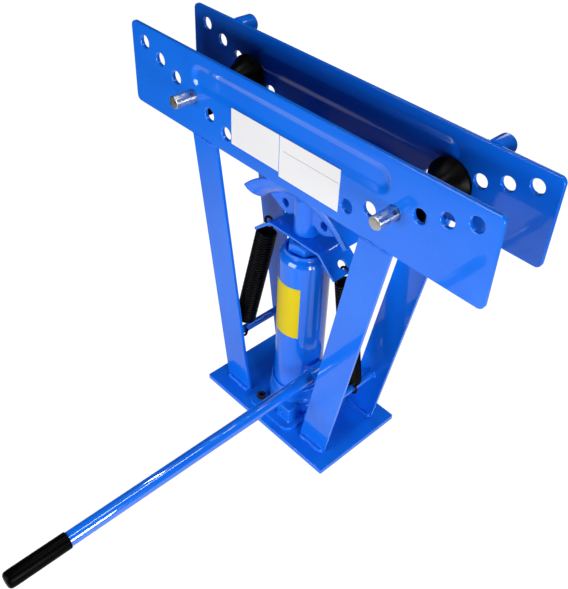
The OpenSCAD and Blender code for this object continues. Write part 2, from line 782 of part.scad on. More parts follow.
// A roller turned about Y, with a groove that is an arc between its two rims
module roller(sx) {
  half = roller_len / 2;
  bore_r = pin_d / 2 + roller_clearance;
  groove_half = half - roller_rim;
  depth = (roller_d - roller_waist_d) / 2;
  groove_r = (groove_half * groove_half + depth * depth) / (2 * depth);
  color(BLACK) translate([sx * roller_x, 0, roller_z]) rotate([90, 0, 0])
    rotate_extrude($fn = 96) difference() {
      translate([bore_r, -half]) square([roller_d / 2 - bore_r, roller_len]);
      translate([roller_waist_d / 2 + groove_r, 0]) circle(r = groove_r, $fn = 128);
      for (s = [-1, 1]) translate([roller_d / 2, s * half]) rotate(45) square(2.8, center = true);
    }
}

module roller_pin(sx) {
  head_y = plate_out_y + loose;
  front_y = -plate_out_y - pin_reach;
  chamfer = 1.2;
  color(STEEL) difference() {
    union() {
      bar_y(sx * roller_x, roller_z, pin_d, front_y + chamfer, head_y);
      translate([sx * roller_x, front_y + chamfer, roller_z]) rotate([90, 0, 0])
        cylinder(d1 = pin_d, d2 = pin_d - 2 * chamfer, h = chamfer);
      bar_y(sx * roller_x, roller_z, pin_head_d, head_y, head_y + pin_head_t);
    }
    translate([sx * roller_x, -plate_out_y - 6, roller_z]) rotate([0, 45, 0])
      cylinder(d = pin_clip_hole_d, h = 2 * pin_d, center = true);
  }
}

// One ear of the lever, seen from the side: both pins' bosses and the plate up to the socket
module ear_outline() {
  for (p = [[pump_y, plunger_pin_z], [fulcrum_y, fulcrum_z]]) translate(p) circle(r = ear_r);
  polygon([[pump_y - ear_r, plunger_pin_z], [pump_y, plunger_pin_z - ear_r * 0.9],
    [fulcrum_y, fulcrum_z - ear_r * 0.95], [fulcrum_y + ear_r, fulcrum_z],
    [fulcrum_y + ear_r, lever_z], [pump_y - ear_r, lever_z]]);
}

// The lever lies level at rest. The plunger's pin runs in a slot of the ears, because it rises
// straight while the lever swings.
module lever_socket() {
  color(BLUE) difference() {
    union() {
      bar_y(pump_x, lever_z, socket_d, socket_front_y, socket_back_y);
      for (s = [-1, 1])
        translate([pump_x + s * (ear_gap + ear_t) / 2 - ear_t / 2, 0, 0])
          rotate([90, 0, 90]) linear_extrude(ear_t) ear_outline();
    }
    bar_y(pump_x, lever_z, socket_bore_d, socket_front_y - 1, socket_back_y - socket_end_t);
    bar_x(pump_x, fulcrum_y, fulcrum_z, lever_pin_d + 2 * running, 60);
    translate([pump_x - 30, 0, 0]) rotate([90, 0, 90]) linear_extrude(60)
      translate([fulcrum_y, fulcrum_z]) rotate(lever_swing / 2)
        translate([-lever_arm + slot_run / 2, 0])
          obround(lever_pin_d + 4 * slot_play + slot_run, lever_pin_d + 2 * slot_play);
  }
}

module handle_tube() {
  color(BLUE) translate([pump_x, handle_front_y + grip_end_t, lever_z]) rotate([-90, 0, 0])
    ring(0, handle_back_y - handle_front_y - grip_end_t, handle_d, handle_d - 2 * handle_wall);
}

module grip() {
  edge_r = 4;
  r = grip_d / 2;
  color(BLACK) difference() {
    translate([pump_x, handle_front_y, lever_z]) rotate([-90, 0, 0]) rotate_extrude() {
      translate([0, edge_r]) square([r, grip_len - edge_r]);
      square([r - edge_r, edge_r]);
      intersection() {
        translate([r - edge_r, edge_r]) circle(r = edge_r);
        square([r, edge_r]);
      }
    }
    bar_y(pump_x, lever_z, handle_d + 2 * running, handle_front_y + grip_end_t,
      handle_front_y + grip_len + 1);
  }
}

// A label on the front plate, below its recess
module plate_label(x, size) {
  z = recess_z - recess_h / 2 - 0.5 - size[1];
  color(WHITE) translate([x, -plate_out_y - label_t, z]) cube([size[0], label_t, size[1]]);
}

module jack_label() {
  turn = -102 - jack_label_angle / 2;
  color(YELLOW) translate([0, jack_y, reservoir_top_z - jack_label_drop - jack_label_h])
    rotate([0, 0, turn]) rotate_extrude(angle = jack_label_angle)
      translate([reservoir_d / 2, 0]) square([label_t, jack_label_h]);
}

base_plate();
leg(-1, -1);  // leg_front_left
leg(1, -1);  // leg_front_right
leg(-1, 1);  // leg_back_left
leg(1, 1);  // leg_back_right
side_plate(-1);  // side_plate_front
side_plate(1);  // side_plate_back
spring_rod(-1);  // spring_rod_left
spring_rod(1);  // spring_rod_right
rear_peg(-1);  // rear_peg_left
rear_peg(1);  // rear_peg_right
jack_base();
jack_screws();
reservoir_tube();
reservoir_cap();
pressure_tube();
top_nut();
wiper_ring();
filler_plug();
overload_screw();
passage_plug();
valve_balls();
pump_barrel();
pump_gland();
lever_pin(fulcrum_y, fulcrum_z);  // fulcrum_pin
pump_plunger();
lever_pin(pump_y, plunger_pin_z);  // plunger_pin
release_valve();
ram();
piston_seal();
yoke();
spring(-1, spring_foot_left_y, coil_start_left);  // spring_left
spring(1, spring_foot_right_y, coil_start_right);  // spring_right
bending_die();
roller(-1);  // roller_left
roller(1);  // roller_right
roller_pin(-1);  // pin_left
roller_pin(1);  // pin_right
lever_socket();
handle_tube();
grip();
plate_label(plate_label_x, plate_label_left);
plate_label(plate_label_seam_x, plate_label_right);
jack_label();
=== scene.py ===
"""Visual model of a hydraulic pipe bender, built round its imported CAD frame.

Sizes in the classes are millimetres in the frame's own axes; meshes are made in metres.
The front is -Y, the jack pushes up along +Z, and the side plates run along X.
"""

from __future__ import annotations

import logging
import math
from collections.abc import Callable, Sequence
from dataclasses import dataclass, field
from enum import Enum

import bmesh
import bpy
import numpy as np
from mathutils import Matrix, Vector
from mathutils.geometry import delaunay_2d_cdt

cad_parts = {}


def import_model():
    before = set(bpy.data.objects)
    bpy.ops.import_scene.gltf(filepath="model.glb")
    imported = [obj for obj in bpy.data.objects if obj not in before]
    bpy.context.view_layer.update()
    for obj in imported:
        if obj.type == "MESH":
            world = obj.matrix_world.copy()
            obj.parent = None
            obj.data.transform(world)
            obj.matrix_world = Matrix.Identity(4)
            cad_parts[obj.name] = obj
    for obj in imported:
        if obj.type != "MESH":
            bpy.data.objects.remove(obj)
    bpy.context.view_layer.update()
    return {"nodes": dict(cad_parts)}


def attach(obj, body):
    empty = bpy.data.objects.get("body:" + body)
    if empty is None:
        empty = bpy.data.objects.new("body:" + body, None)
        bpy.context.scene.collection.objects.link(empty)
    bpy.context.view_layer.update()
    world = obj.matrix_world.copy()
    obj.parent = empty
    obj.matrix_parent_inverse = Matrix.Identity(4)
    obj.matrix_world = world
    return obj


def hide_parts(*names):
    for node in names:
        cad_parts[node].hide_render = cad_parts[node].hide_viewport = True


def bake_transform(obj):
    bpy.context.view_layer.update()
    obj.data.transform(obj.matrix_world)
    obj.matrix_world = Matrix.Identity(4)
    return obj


LOG = logging.getLogger("pipe_bender")
MM = 0.001
# A radius below this lies on a lathe's axis, in millimetres
ON_AXIS = 1e-6
# Edges of the CAD meshes that bend by more than this are real edges
CREASE = math.radians(35)
Point2 = tuple[float, float]
Point3 = tuple[float, float, float]
Place = Callable[[float, float, float], Point3]

# Where the jack's screws go through the base plate
SCREW_SPOTS: tuple[Point2, ...] = ((-31.2, -51.6), (-31.2, 35.6), (31.2, 35.6))


class Slot(Enum):
    """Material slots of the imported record."""

    BLUE = "blue_paint"
    BLACK = "black_paint"
    ZINC = "zinc_plated"
    STEEL = "bright_steel"
    RUBBER = "black_rubber"
    WHITE = "white_label"
    YELLOW = "yellow_label"


# Node trees


class Wire:
    """A socket of a node tree that takes part in Python arithmetic."""

    def __init__(self, builder: "TreeBuilder", socket: bpy.types.NodeSocket) -> None:
        """Keeps the socket with the tree it belongs to."""
        self.builder = builder
        self.socket = socket

    def __add__(self, other: "Wire | float") -> "Wire":
        """Sum."""
        return self.builder.maths("ADD", self, other)

    __radd__ = __add__

    def __mul__(self, other: "Wire | float") -> "Wire":
        """Product."""
        return self.builder.maths("MULTIPLY", self, other)

    __rmul__ = __mul__

    def __sub__(self, other: "Wire | float") -> "Wire":
        """Difference."""
        return self.builder.maths("SUBTRACT", self, other)

    def __rsub__(self, other: "Wire | float") -> "Wire":
        """Difference, with this value taken away."""
        return self.builder.maths("SUBTRACT", other, self)

    def __truediv__(self, other: "Wire | float") -> "Wire":
        """Quotient."""
        return self.builder.maths("DIVIDE", self, other)

    def __pow__(self, other: "Wire | float") -> "Wire":
        """Power."""
        return self.builder.maths("POWER", self, other)

    def __lt__(self, other: "Wire | float") -> "Wire":
        """1 where this value is below the other."""
        return self.builder.maths("LESS_THAN", self, other)

    def __gt__(self, other: "Wire | float") -> "Wire":
        """1 where this value is above the other."""
        return self.builder.maths("GREATER_THAN", self, other)

    def __abs__(self) -> "Wire":
        """Size without its sign."""
        return self.builder.maths("ABSOLUTE", self)


class TreeBuilder:
    """Adds nodes to one node tree."""

    def __init__(self, tree: bpy.types.NodeTree) -> None:
        """Starts on an empty tree."""
        self.tree = tree
        tree.nodes.clear()

    def node(self, kind: str, settings: dict | None = None, inputs: dict | None = None) -> bpy.types.Node:
        """Adds one node.

        Args:
            kind: the node's type name.
            settings: properties set before the inputs; "stops" are a ramp's (position, colour) pairs.
            inputs: values or wires by socket name or number.

        Returns:
            The new node.
        """
        node = self.tree.nodes.new(kind)
        for key, value in (settings or {}).items():
            if key == "stops":
                elements = node.color_ramp.elements
                while len(elements) < len(value):
                    elements.new(0.5)
                for element, (position, colour) in zip(elements, value):
                    element.position = position
                    element.color = colour
            else:
                setattr(node, key, value)
        for key, value in (inputs or {}).items():
            if isinstance(value, Wire):
                self.tree.links.new(value.socket, node.inputs[key])
            else:
                node.inputs[key].default_value = value
        return node

    def wire(self, node: bpy.types.Node, output: str | int = 0) -> Wire:
        """An output of a node as a wire."""
        return Wire(self, node.outputs[output])

    def maths(self, operation: str, *values: "Wire | float") -> Wire:
        """One Math node on wires and numbers."""
        return self.wire(self.node("ShaderNodeMath", {"operation": operation}, dict(enumerate(values))))

    def between(self, value: Wire, low: float, high: float,
                to_low: float = 0.0, to_high: float = 1.0) -> Wire:
        """Maps a value smoothly from one span onto another.

        Args:
            value: what is mapped.
            low: where the span starts.
            high: where the span ends.
            to_low: the result at and below low.
            to_high: the result at and above high.

        Returns:
            The mapped value.
        """
        spans = {"Value": value, "From Min": low, "From Max": high, "To Min": to_low, "To Max": to_high}
        return self.wire(self.node("ShaderNodeMapRange", {"interpolation_type": "SMOOTHSTEP"}, spans))


class Surface(TreeBuilder):
    """A material under construction."""

    def __init__(self, name: str) -> None:
        """Creates the material and its Object coordinates.

        Args:
            name: the material's name.
        """
        self.material = bpy.data.materials.new(name)
        self.material.use_nodes = True
        super().__init__(self.material.node_tree)
        self.place = self.wire(self.node("ShaderNodeTexCoord"), "Object")

    def axes(self) -> tuple[Wire, Wire, Wire]:
        """X, Y and Z of the Object coordinates, in metres."""
        split = self.node("ShaderNodeSeparateXYZ", None, {0: self.place})
        return self.wire(split, 0), self.wire(split, 1), self.wire(split, 2)

    def stretched(self, scale: Point3) -> Wire:
        """The coordinates with each axis scaled by its own number."""
        return self.wire(self.node("ShaderNodeMapping", None, {"Vector": self.place, "Scale": scale}))

    def noise(self, scale: float, detail: float = 2.0, where: Wire | None = None) -> Wire:
        """Smooth noise from 0 to 1.

        Args:
            scale: patterns to the metre.
            detail: finer layers.
            where: coordinates other than the plain ones.

        Returns:
            The noise value.
        """
        settings = {"Vector": where or self.place, "Scale": scale, "Detail": detail}
        return self.wire(self.node("ShaderNodeTexNoise", None, settings), 0)

    def cells(self, scale: float) -> Wire:
        """Distance to the nearest of scattered points."""
        return self.wire(self.node("ShaderNodeTexVoronoi", None, {"Vector": self.place, "Scale": scale}), 0)

    def mix(self, share: Wire, first: "Wire | tuple", second: "Wire | tuple") -> Wire:
        """Mixes two colours by a share from 0 to 1."""
        node = self.node("ShaderNodeMix", {"data_type": "RGBA"}, {0: share, 6: first, 7: second})
        return self.wire(node, 2)

    def bump(self, height: Wire, depth_mm: float, strength: float = 1.0, under: Wire | None = None) -> Wire:
        """Bends the shading normal by a height from 0 to 1.

        Args:
            height: the height pattern.
            depth_mm: what a height of 1 stands for.
            strength: share of the full effect.
            under: another bump that this one lies on.

        Returns:
            The new normal.
        """
        inputs = {"Height": height, "Distance": depth_mm * MM, "Strength": strength}
        if under is not None:
            inputs["Normal"] = under
        return self.wire(self.node("ShaderNodeBump", None, inputs))

    def finish(self, **sockets: object) -> bpy.types.Material:
        """Ends the material in one Principled shader.

        Args:
            **sockets: the shader's inputs, with _ for each space.

        Returns:
            The finished material.
        """
        named = {key.replace("_", " "): value for key, value in sockets.items()}
        shader = self.node("ShaderNodeBsdfPrincipled", None, named)
        self.node("ShaderNodeOutputMaterial", None, {0: self.wire(shader)})
        return self.material


# Finishes


def tint(red: float, green: float, blue: float) -> tuple[float, float, float, float]:
    """A colour with full alpha."""
    return (red, green, blue, 1.0)


@dataclass(frozen=True)
class Enamel:
    """Glossy sprayed enamel on steel, with orange peel and a little dust.

    Attributes:
        bright: colour where the paint is thick.
        deep: colour where it is thinner.
        peel: depth of the orange peel, in mm.
        cast: depth of a casting's skin under the paint, in mm.
        gloss: roughness of the paint.
        coat: share of the clear layer on top.
        coat_ior: how strongly that layer reflects.
        inner_y: faces nearer to the middle plane than this, in mm, get painted shade: a darker colour and
            less clear coat.
        thin: colour of that painted shade.
    """

    bright: tuple
    deep: tuple
    peel: float = 0.05
    cast: float = 0.0
    gloss: float = 0.17
    coat: float = 0.85
    coat_ior: float = 1.5
    inner_y: float = 0.0
    thin: tuple = (0.001, 0.060, 0.42, 1.0)

    def _painted_shade_share(self, s: Surface, drift: Wire) -> Wire:
        """Finds where shade is painted on the inner faces: less of it at the right end and the top edge,
        where light reaches in.

        Args:
            s: the material under construction.
            drift: slow noise that makes the border wander.

        Returns:
            A share from 0 to 1.
        """
        x, y, z = s.axes()
        left_part = s.between(x + (drift - 0.5) * 0.05, 0.15, 0.24, 1.0, 0.25)
        lower_part = s.between(z, 0.50, 0.525, 1.0, 0.45)
        return (abs(y) < self.inner_y * MM) * left_part * lower_part

    def build(self, name: str) -> bpy.types.Material:
        """Builds the material.

        Args:
            name: the material's name.

        Returns:
            The material.
        """
        s = Surface(name)
        drift = s.noise(7.0, 3.0)
        dust = s.between(s.noise(420.0, 3.0), 0.62, 0.8)
        shade = s.mix(s.between(drift, 0.3, 0.7), self.deep, self.bright)
        dusty = tint(0.20, 0.36, 0.70)
        colour = s.mix(dust * 0.05, shade, dusty)
        rough = s.between(s.noise(30.0, 4.0), 0.25, 0.75, self.gloss - 0.04, self.gloss + 0.07)
        peel = s.bump(s.noise(330.0, 2.0), self.peel)
        if self.cast:
            peel = s.bump(s.noise(95.0, 4.0), self.cast, 0.8, peel)
        coat: Wire | float = self.coat
        # Painted shade between the plates: darker colour and less clear coat on the inner faces.
        if self.inner_y:
            share = self._painted_shade_share(s, drift)
            colour = s.mix(share, colour, self.thin)
            coat = (1 - share * 0.85) * self.coat
        return s.finish(Base_Color=colour, Roughness=rough + dust * 0.2, Normal=peel, IOR=1.5,
                        Specular_IOR_Level=0.2, Coat_Weight=coat, Coat_Roughness=0.04, Coat_IOR=self.coat_ior)


@dataclass(frozen=True)
class BlackFinish:
    """Black oxide or black paint, rubbed a little brighter on the high spots.

    Attributes:
        base: colour of the coat.
        worn: colour where it is rubbed.
        rough: middle roughness.
        grain: depth of the grain, in mm.
        shine: strength of the reflection.
    """

    base: tuple
    worn: tuple
    rough: float
    grain: float
    shine: float = 0.3

    def build(self, name: str) -> bpy.types.Material:
        """Builds the material.

        Args:
            name: the material's name.

        Returns:
            The material.
        """
        s = Surface(name)
        rubbed = s.between(s.noise(260.0, 5.0), 0.5, 0.72)
        colour = s.mix(rubbed, self.base, self.worn)
        rough = s.between(s.noise(60.0, 3.0), 0.3, 0.7, self.rough - 0.08, self.rough + 0.1)
        return s.finish(Base_Color=colour, Roughness=rough, Specular_IOR_Level=self.shine,
                        Normal=s.bump(s.noise(700.0, 3.0), self.grain))


@dataclass(frozen=True)
class BareMetal:
    """Bare or plated metal with fine turning lines and handling marks.

    Attributes:
        base: colour of the clean metal.
        stained: colour of the marks.
        rough: middle roughness.
        spangle: crystals to the metre.
        lines: how much finer the turning lines are along each axis.
    """

    base: tuple
    stained: tuple
    rough: float
    spangle: float
    lines: Point3 = (1.0, 1.0, 1.0)

    def build(self, name: str) -> bpy.types.Material:
        """Builds the material.

        Args:
            name: the material's name.

        Returns:
            The material.
        """
        s = Surface(name)
        stain = s.between(s.noise(90.0, 5.0), 0.45, 0.75)
        spangle = s.cells(self.spangle)
        colour = s.mix(stain * 0.5, self.base, self.stained)
        turned = s.noise(900.0, 2.0, s.stretched(self.lines))
        rough = s.between(spangle, 0.0, 0.8, self.rough - 0.06, self.rough + 0.1) + stain * 0.1
        return s.finish(Base_Color=colour, Roughness=rough, Metallic=1.0, Normal=s.bump(turned, 0.02))


@dataclass(frozen=True)
class GripRubber:
    """Soft moulded rubber with a faint grain."""

    base: tuple

    def build(self, name: str) -> bpy.types.Material:
        """Builds the material.

        Args:
            name: the material's name.

        Returns:
            The material.
        """
        s = Surface(name)
        bloom = s.between(s.noise(55.0, 4.0), 0.45, 0.8)
        colour = s.mix(bloom, self.base, tint(0.004, 0.004, 0.005))
        rough = s.between(bloom, 0.0, 1.0, 0.30, 0.46)
        return s.finish(Base_Color=colour, Roughness=rough, Specular_IOR_Level=0.03,
                        Normal=s.bump(s.noise(1100.0, 2.0), 0.06))


@dataclass(frozen=True)
class LabelFilm:
    """Printed film: a plain ground with thin generic rules and no lettering.

    Attributes:
        ground: colour of the film.
        ink: colour of the rules.
        rules: heights of the rules, in mm.
        half_rule: half the thickness of a rule, in mm.
        span: lowest and highest coordinate that the rules run over, in mm.
    """

    ground: tuple
    ink: tuple
    rules: tuple[float, ...] = ()
    half_rule: float = 0.35
    span: tuple[float, float] = (0.0, 0.0)

    def build(self, name: str) -> bpy.types.Material:
        """Builds the material.

        Args:
            name: the material's name.

        Returns:
            The material.
        """
        s = Surface(name)
        x, _, z = s.axes()
        shade = s.between(s.noise(25.0, 3.0), 0.3, 0.8, 0.0, 0.12)
        colour = s.mix(shade, self.ground, tint(*(0.86 * c for c in self.ground[:3])))
        inked: Wire | None = None
        for height in self.rules:
            line = abs(z - height * MM) < self.half_rule * MM
            inked = line if inked is None else inked + line
        if inked is not None:
            inside = (x > self.span[0] * MM) * (x < self.span[1] * MM)
            colour = s.mix(inked * inside, colour, self.ink)
        rough = s.between(s.noise(160.0, 3.0), 0.3, 0.7, 0.3, 0.42)
        return s.finish(Base_Color=colour, Roughness=rough, Specular_IOR_Level=0.25,
                        Normal=s.bump(s.noise(45.0, 2.0), 0.05))


class Palette:
    """Every finish of the pipe bender, built once."""

    def __init__(self) -> None:
        """Builds the materials."""
        bright = tint(0.005, 0.172, 0.88)
        deep = tint(0.003, 0.146, 0.82)
        self.blue = Enamel(bright, deep).build("blue enamel")
        self.cast_blue = Enamel(bright, deep, cast=0.35, gloss=0.22).build("blue enamel on casting")
        self.weld_blue = Enamel(deep, deep, peel=0.12, gloss=0.24, coat=0.3).build("blue enamel on weld")
        # The side plates' finish carries painted shade on its inner faces.
        self.plate_blue = Enamel(bright, deep, inner_y=50.5).build("blue enamel, thin on the inner face")
        self.tube_blue = Enamel(bright, deep, peel=0.02, coat_ior=2.1).build("blue enamel on drawn tube")
        self.black_wire = BlackFinish(
            tint(0.001, 0.001, 0.0015), tint(0.003, 0.0025, 0.0025), rough=0.34, grain=0.03,
            shine=0.1).build("black oiled wire")
        self.black_roller = BlackFinish(
            tint(0.001, 0.001, 0.001), tint(0.003, 0.003, 0.0025), rough=0.36, grain=0.06,
            shine=0.06).build("black roller paint")
        self.black_screw = BlackFinish(
            tint(0.008, 0.008, 0.009), tint(0.03, 0.03, 0.03), rough=0.42, grain=0.04).build("black screw")
        self.zinc = BareMetal(
            tint(0.62, 0.62, 0.61), tint(0.46, 0.46, 0.44), rough=0.27, spangle=120.0,
            lines=(1.0, 8.0, 1.0)).build("zinc plate")
        self.steel = BareMetal(
            tint(0.66, 0.66, 0.67), tint(0.42, 0.40, 0.36), rough=0.22, spangle=60.0,
            lines=(1.0, 1.0, 6.0)).build("ground steel")
        self.rubber = GripRubber(tint(0.0012, 0.0012, 0.0012)).build("grip rubber")
        self.seal = GripRubber(tint(0.02, 0.02, 0.02)).build("seal rubber")
        film = tint(0.85, 0.85, 0.87)
        ink = tint(0.30, 0.31, 0.34)
        self.white = LabelFilm(film, ink).build("white film")
        self.ruled = LabelFilm(film, ink, rules=(466.0,), span=(0.0, 90.0)).build("white film with a rule")
        self.yellow = LabelFilm(tint(0.70, 0.55, 0.001), ink).build("yellow film")


# Mesh building


def adopt(obj: bpy.types.Object, body: str, slot: Slot, *nodes: str) -> bpy.types.Object:
    """Puts a piece on its body and hides the CAD nodes that it stands for.

    Args:
        obj: the finished piece.
        body: the CAD body that carries it.
        slot: the record's material slot; not used.
        *nodes: CAD nodes that the piece replaces.

    Returns:
        The same piece.
    """
    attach(obj, body)
    if nodes:
        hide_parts(*nodes)
    LOG.info("%s: %d faces on %s", obj.name, len(obj.data.polygons), body)
    return obj


def link(name: str, mesh: bpy.types.Mesh, material: bpy.types.Material | None) -> bpy.types.Object:
    """Makes an object of a mesh in the scene.

    Args:
        name: the object's name.
        mesh: its mesh.
        material: its only finish, or None to keep the mesh's own.

    Returns:
        The new object.
    """
    if material is not None:
        mesh.materials.clear()
        mesh.materials.append(material)
    obj = bpy.data.objects.new(name, mesh)
    bpy.context.scene.collection.objects.link(obj)
    return obj


def solid(name: str, points: Sequence[Point3], faces: Sequence[Sequence[int]],
          material: bpy.types.Material, sharp: float = 40.0) -> bpy.types.Object:
    """Makes a closed piece of points in millimetres.

    Args:
        name: the piece's name.
        points: corners in millimetres.
        faces: corner numbers of each face.
        material: its finish.
        sharp: edges that bend by more degrees than this stay sharp.

    Returns:
        The new object.
    """
    mesh = bpy.data.meshes.new(name)
    mesh.from_pydata([tuple(c * MM for c in p) for p in points], [], [tuple(f) for f in faces])
    shape = bmesh.new()
    shape.from_mesh(mesh)
    bmesh.ops.remove_doubles(shape, verts=shape.verts, dist=1e-7)
    bmesh.ops.recalc_face_normals(shape, faces=shape.faces)
    shape.to_mesh(mesh)
    shape.free()
    mesh.shade_smooth()
    mesh.set_sharp_from_angle(angle=math.radians(sharp))
    return link(name, mesh, material)


def settled(obj: bpy.types.Object) -> bpy.types.Object:
    """Turns an object and its modifiers into one plain mesh object of the same name.

    Args:
        obj: the object, which is taken away.

    Returns:
        The plain object.
    """
    graph = bpy.context.evaluated_depsgraph_get()
    mesh = bpy.data.meshes.new_from_object(
        obj.evaluated_get(graph), preserve_all_data_layers=True, depsgraph=graph)
    name = obj.name
    bpy.data.objects.remove(obj)
    mesh.name = name
    return link(name, mesh, None)


def weighted(obj: bpy.types.Object) -> bpy.types.Object:
    """Gives a rounded piece normals that keep its large faces flat.

    Args:
        obj: the piece.

    Returns:
        The piece as a plain mesh object.
    """
    modifier = obj.modifiers.new("flat faces", "WEIGHTED_NORMAL")
    modifier.weight = 80
    modifier.keep_sharp = True
    return settled(obj)


def filleted(corners: Sequence[tuple[float, ...]], steps: int = 5) -> list[Point2]:
    """Rounds the corners of a closed outline.

    Args:
        corners: (x, y) or (x, y, radius) in order round the outline.
        steps: pieces of each round.

    Returns:
        The outline's points.
    """
    result: list[Point2] = []
    count = len(corners)
    for i, corner in enumerate(corners):
        here = Vector(corner[:2])
        radius = corner[2] if len(corner) > 2 else 0.0
        back = Vector(corners[i - 1][:2]) - here
        ahead = Vector(corners[(i + 1) % count][:2]) - here
        if radius <= 0:
            result.append((here.x, here.y))
            continue
        half = back.angle(ahead) / 2
        reach = radius / math.tan(half)
        centre = here + (back.normalized() + ahead.normalized()).normalized() * (radius / math.sin(half))
        first = here + back.normalized() * reach - centre
        last = here + ahead.normalized() * reach - centre
        sweep = first.angle_signed(last)
        for k in range(steps + 1):
            turn = Matrix.Rotation(-sweep * k / steps, 2)
            point = centre + turn @ first
            result.append((point.x, point.y))
    return result


def circle(x: float, y: float, radius: float, count: int = 48) -> list[Point2]:
    """Points of a circle."""
    return [(x + radius * math.cos(2 * math.pi * k / count), y + radius * math.sin(2 * math.pi * k / count))
            for k in range(count)]


def lathe(name: str, profile: Sequence[Point2], place: Matrix, material: bpy.types.Material,
          segments: int = 96, sharp: float = 40.0) -> bpy.types.Object:
    """Turns a closed profile of (radius, height) about the Z axis and moves it into place.

    Args:
        name: the piece's name.
        profile: the closed profile, in millimetres.
        place: where the axis goes, in millimetres.
        material: its finish.
        segments: steps round the axis.
        sharp: edges that bend by more degrees than this stay sharp.

    Returns:
        The new object.
    """
    points: list[Point3] = []
    faces: list[tuple[int, ...]] = []
    count = len(profile)
    for k in range(segments):
        angle = 2 * math.pi * k / segments
        for radius, height in profile:
            points.append(tuple(place @ Vector((radius * math.cos(angle), radius * math.sin(angle), height))))
    for k in range(segments):
        for i in range(count):
            a, b = k * count + i, k * count + (i + 1) % count
            c, d = (k + 1) % segments * count + (i + 1) % count, (k + 1) % segments * count + i
            on_axis_a = profile[i][0] < ON_AXIS
            on_axis_b = profile[(i + 1) % count][0] < ON_AXIS
            if on_axis_a and on_axis_b:
                continue
            if on_axis_a:
                faces.append((a, b, c))
            elif on_axis_b:
                faces.append((a, b, d))
            else:
                faces.append((a, b, c, d))
    return solid(name, points, faces, material, sharp)


def along_y(x: float, y: float, z: float) -> Matrix:
    """Puts a lathe's axis along +Y from a point."""
    return Matrix.Translation((x, y, z)) @ Matrix.Rotation(math.radians(-90), 4, "X")


def along_z(x: float, y: float, z: float) -> Matrix:
    """Puts a lathe's axis along +Z from a point."""
    return Matrix.Translation((x, y, z))


def inset(loop: Sequence[Point2], depth: float) -> list[Point2]:
    """Moves each point of a closed loop to its left, with mitred corners.

    Args:
        loop: the loop's points.
        depth: how far they move.

    Returns:
        The moved loop.
    """
    result: list[Point2] = []
    count = len(loop)
    for i in range(count):
        back = Vector(loop[i]) - Vector(loop[i - 1])
        ahead = Vector(loop[(i + 1) % count]) - Vector(loop[i])
        n1 = Vector((-back.y, back.x)).normalized()
        n2 = Vector((-ahead.y, ahead.x)).normalized()
        step = (n1 + n2) * (depth / (1 + n1.dot(n2)))
        result.append((loop[i][0] + step.x, loop[i][1] + step.y))
    return result


def turned(loop: Sequence[Point2], anticlockwise: bool) -> list[Point2]:
    """The loop in the direction that is asked for."""
    area = sum(a[0] * b[1] - b[0] * a[1] for a, b in zip(loop, list(loop[1:]) + [loop[0]]))
    return list(loop) if (area > 0) == anticlockwise else list(reversed(loop))


def inside(points: np.ndarray, loop: Sequence[Point2]) -> np.ndarray:
    """Tells which points lie inside a closed loop.

    Args:
        points: one point in each row.
        loop: the loop's points.

    Returns:
        True for each point inside.
    """
    x, y = points[:, 0], points[:, 1]
    hit = np.zeros(len(points), bool)
    for (ax, ay), (bx, by) in zip(loop, list(loop[1:]) + [loop[0]]):
        if ay == by:
            continue
        crosses = (ay > y) != (by > y)
        hit ^= crosses & (x < (bx - ax) * (y - ay) / (by - ay) + ax)
    return hit


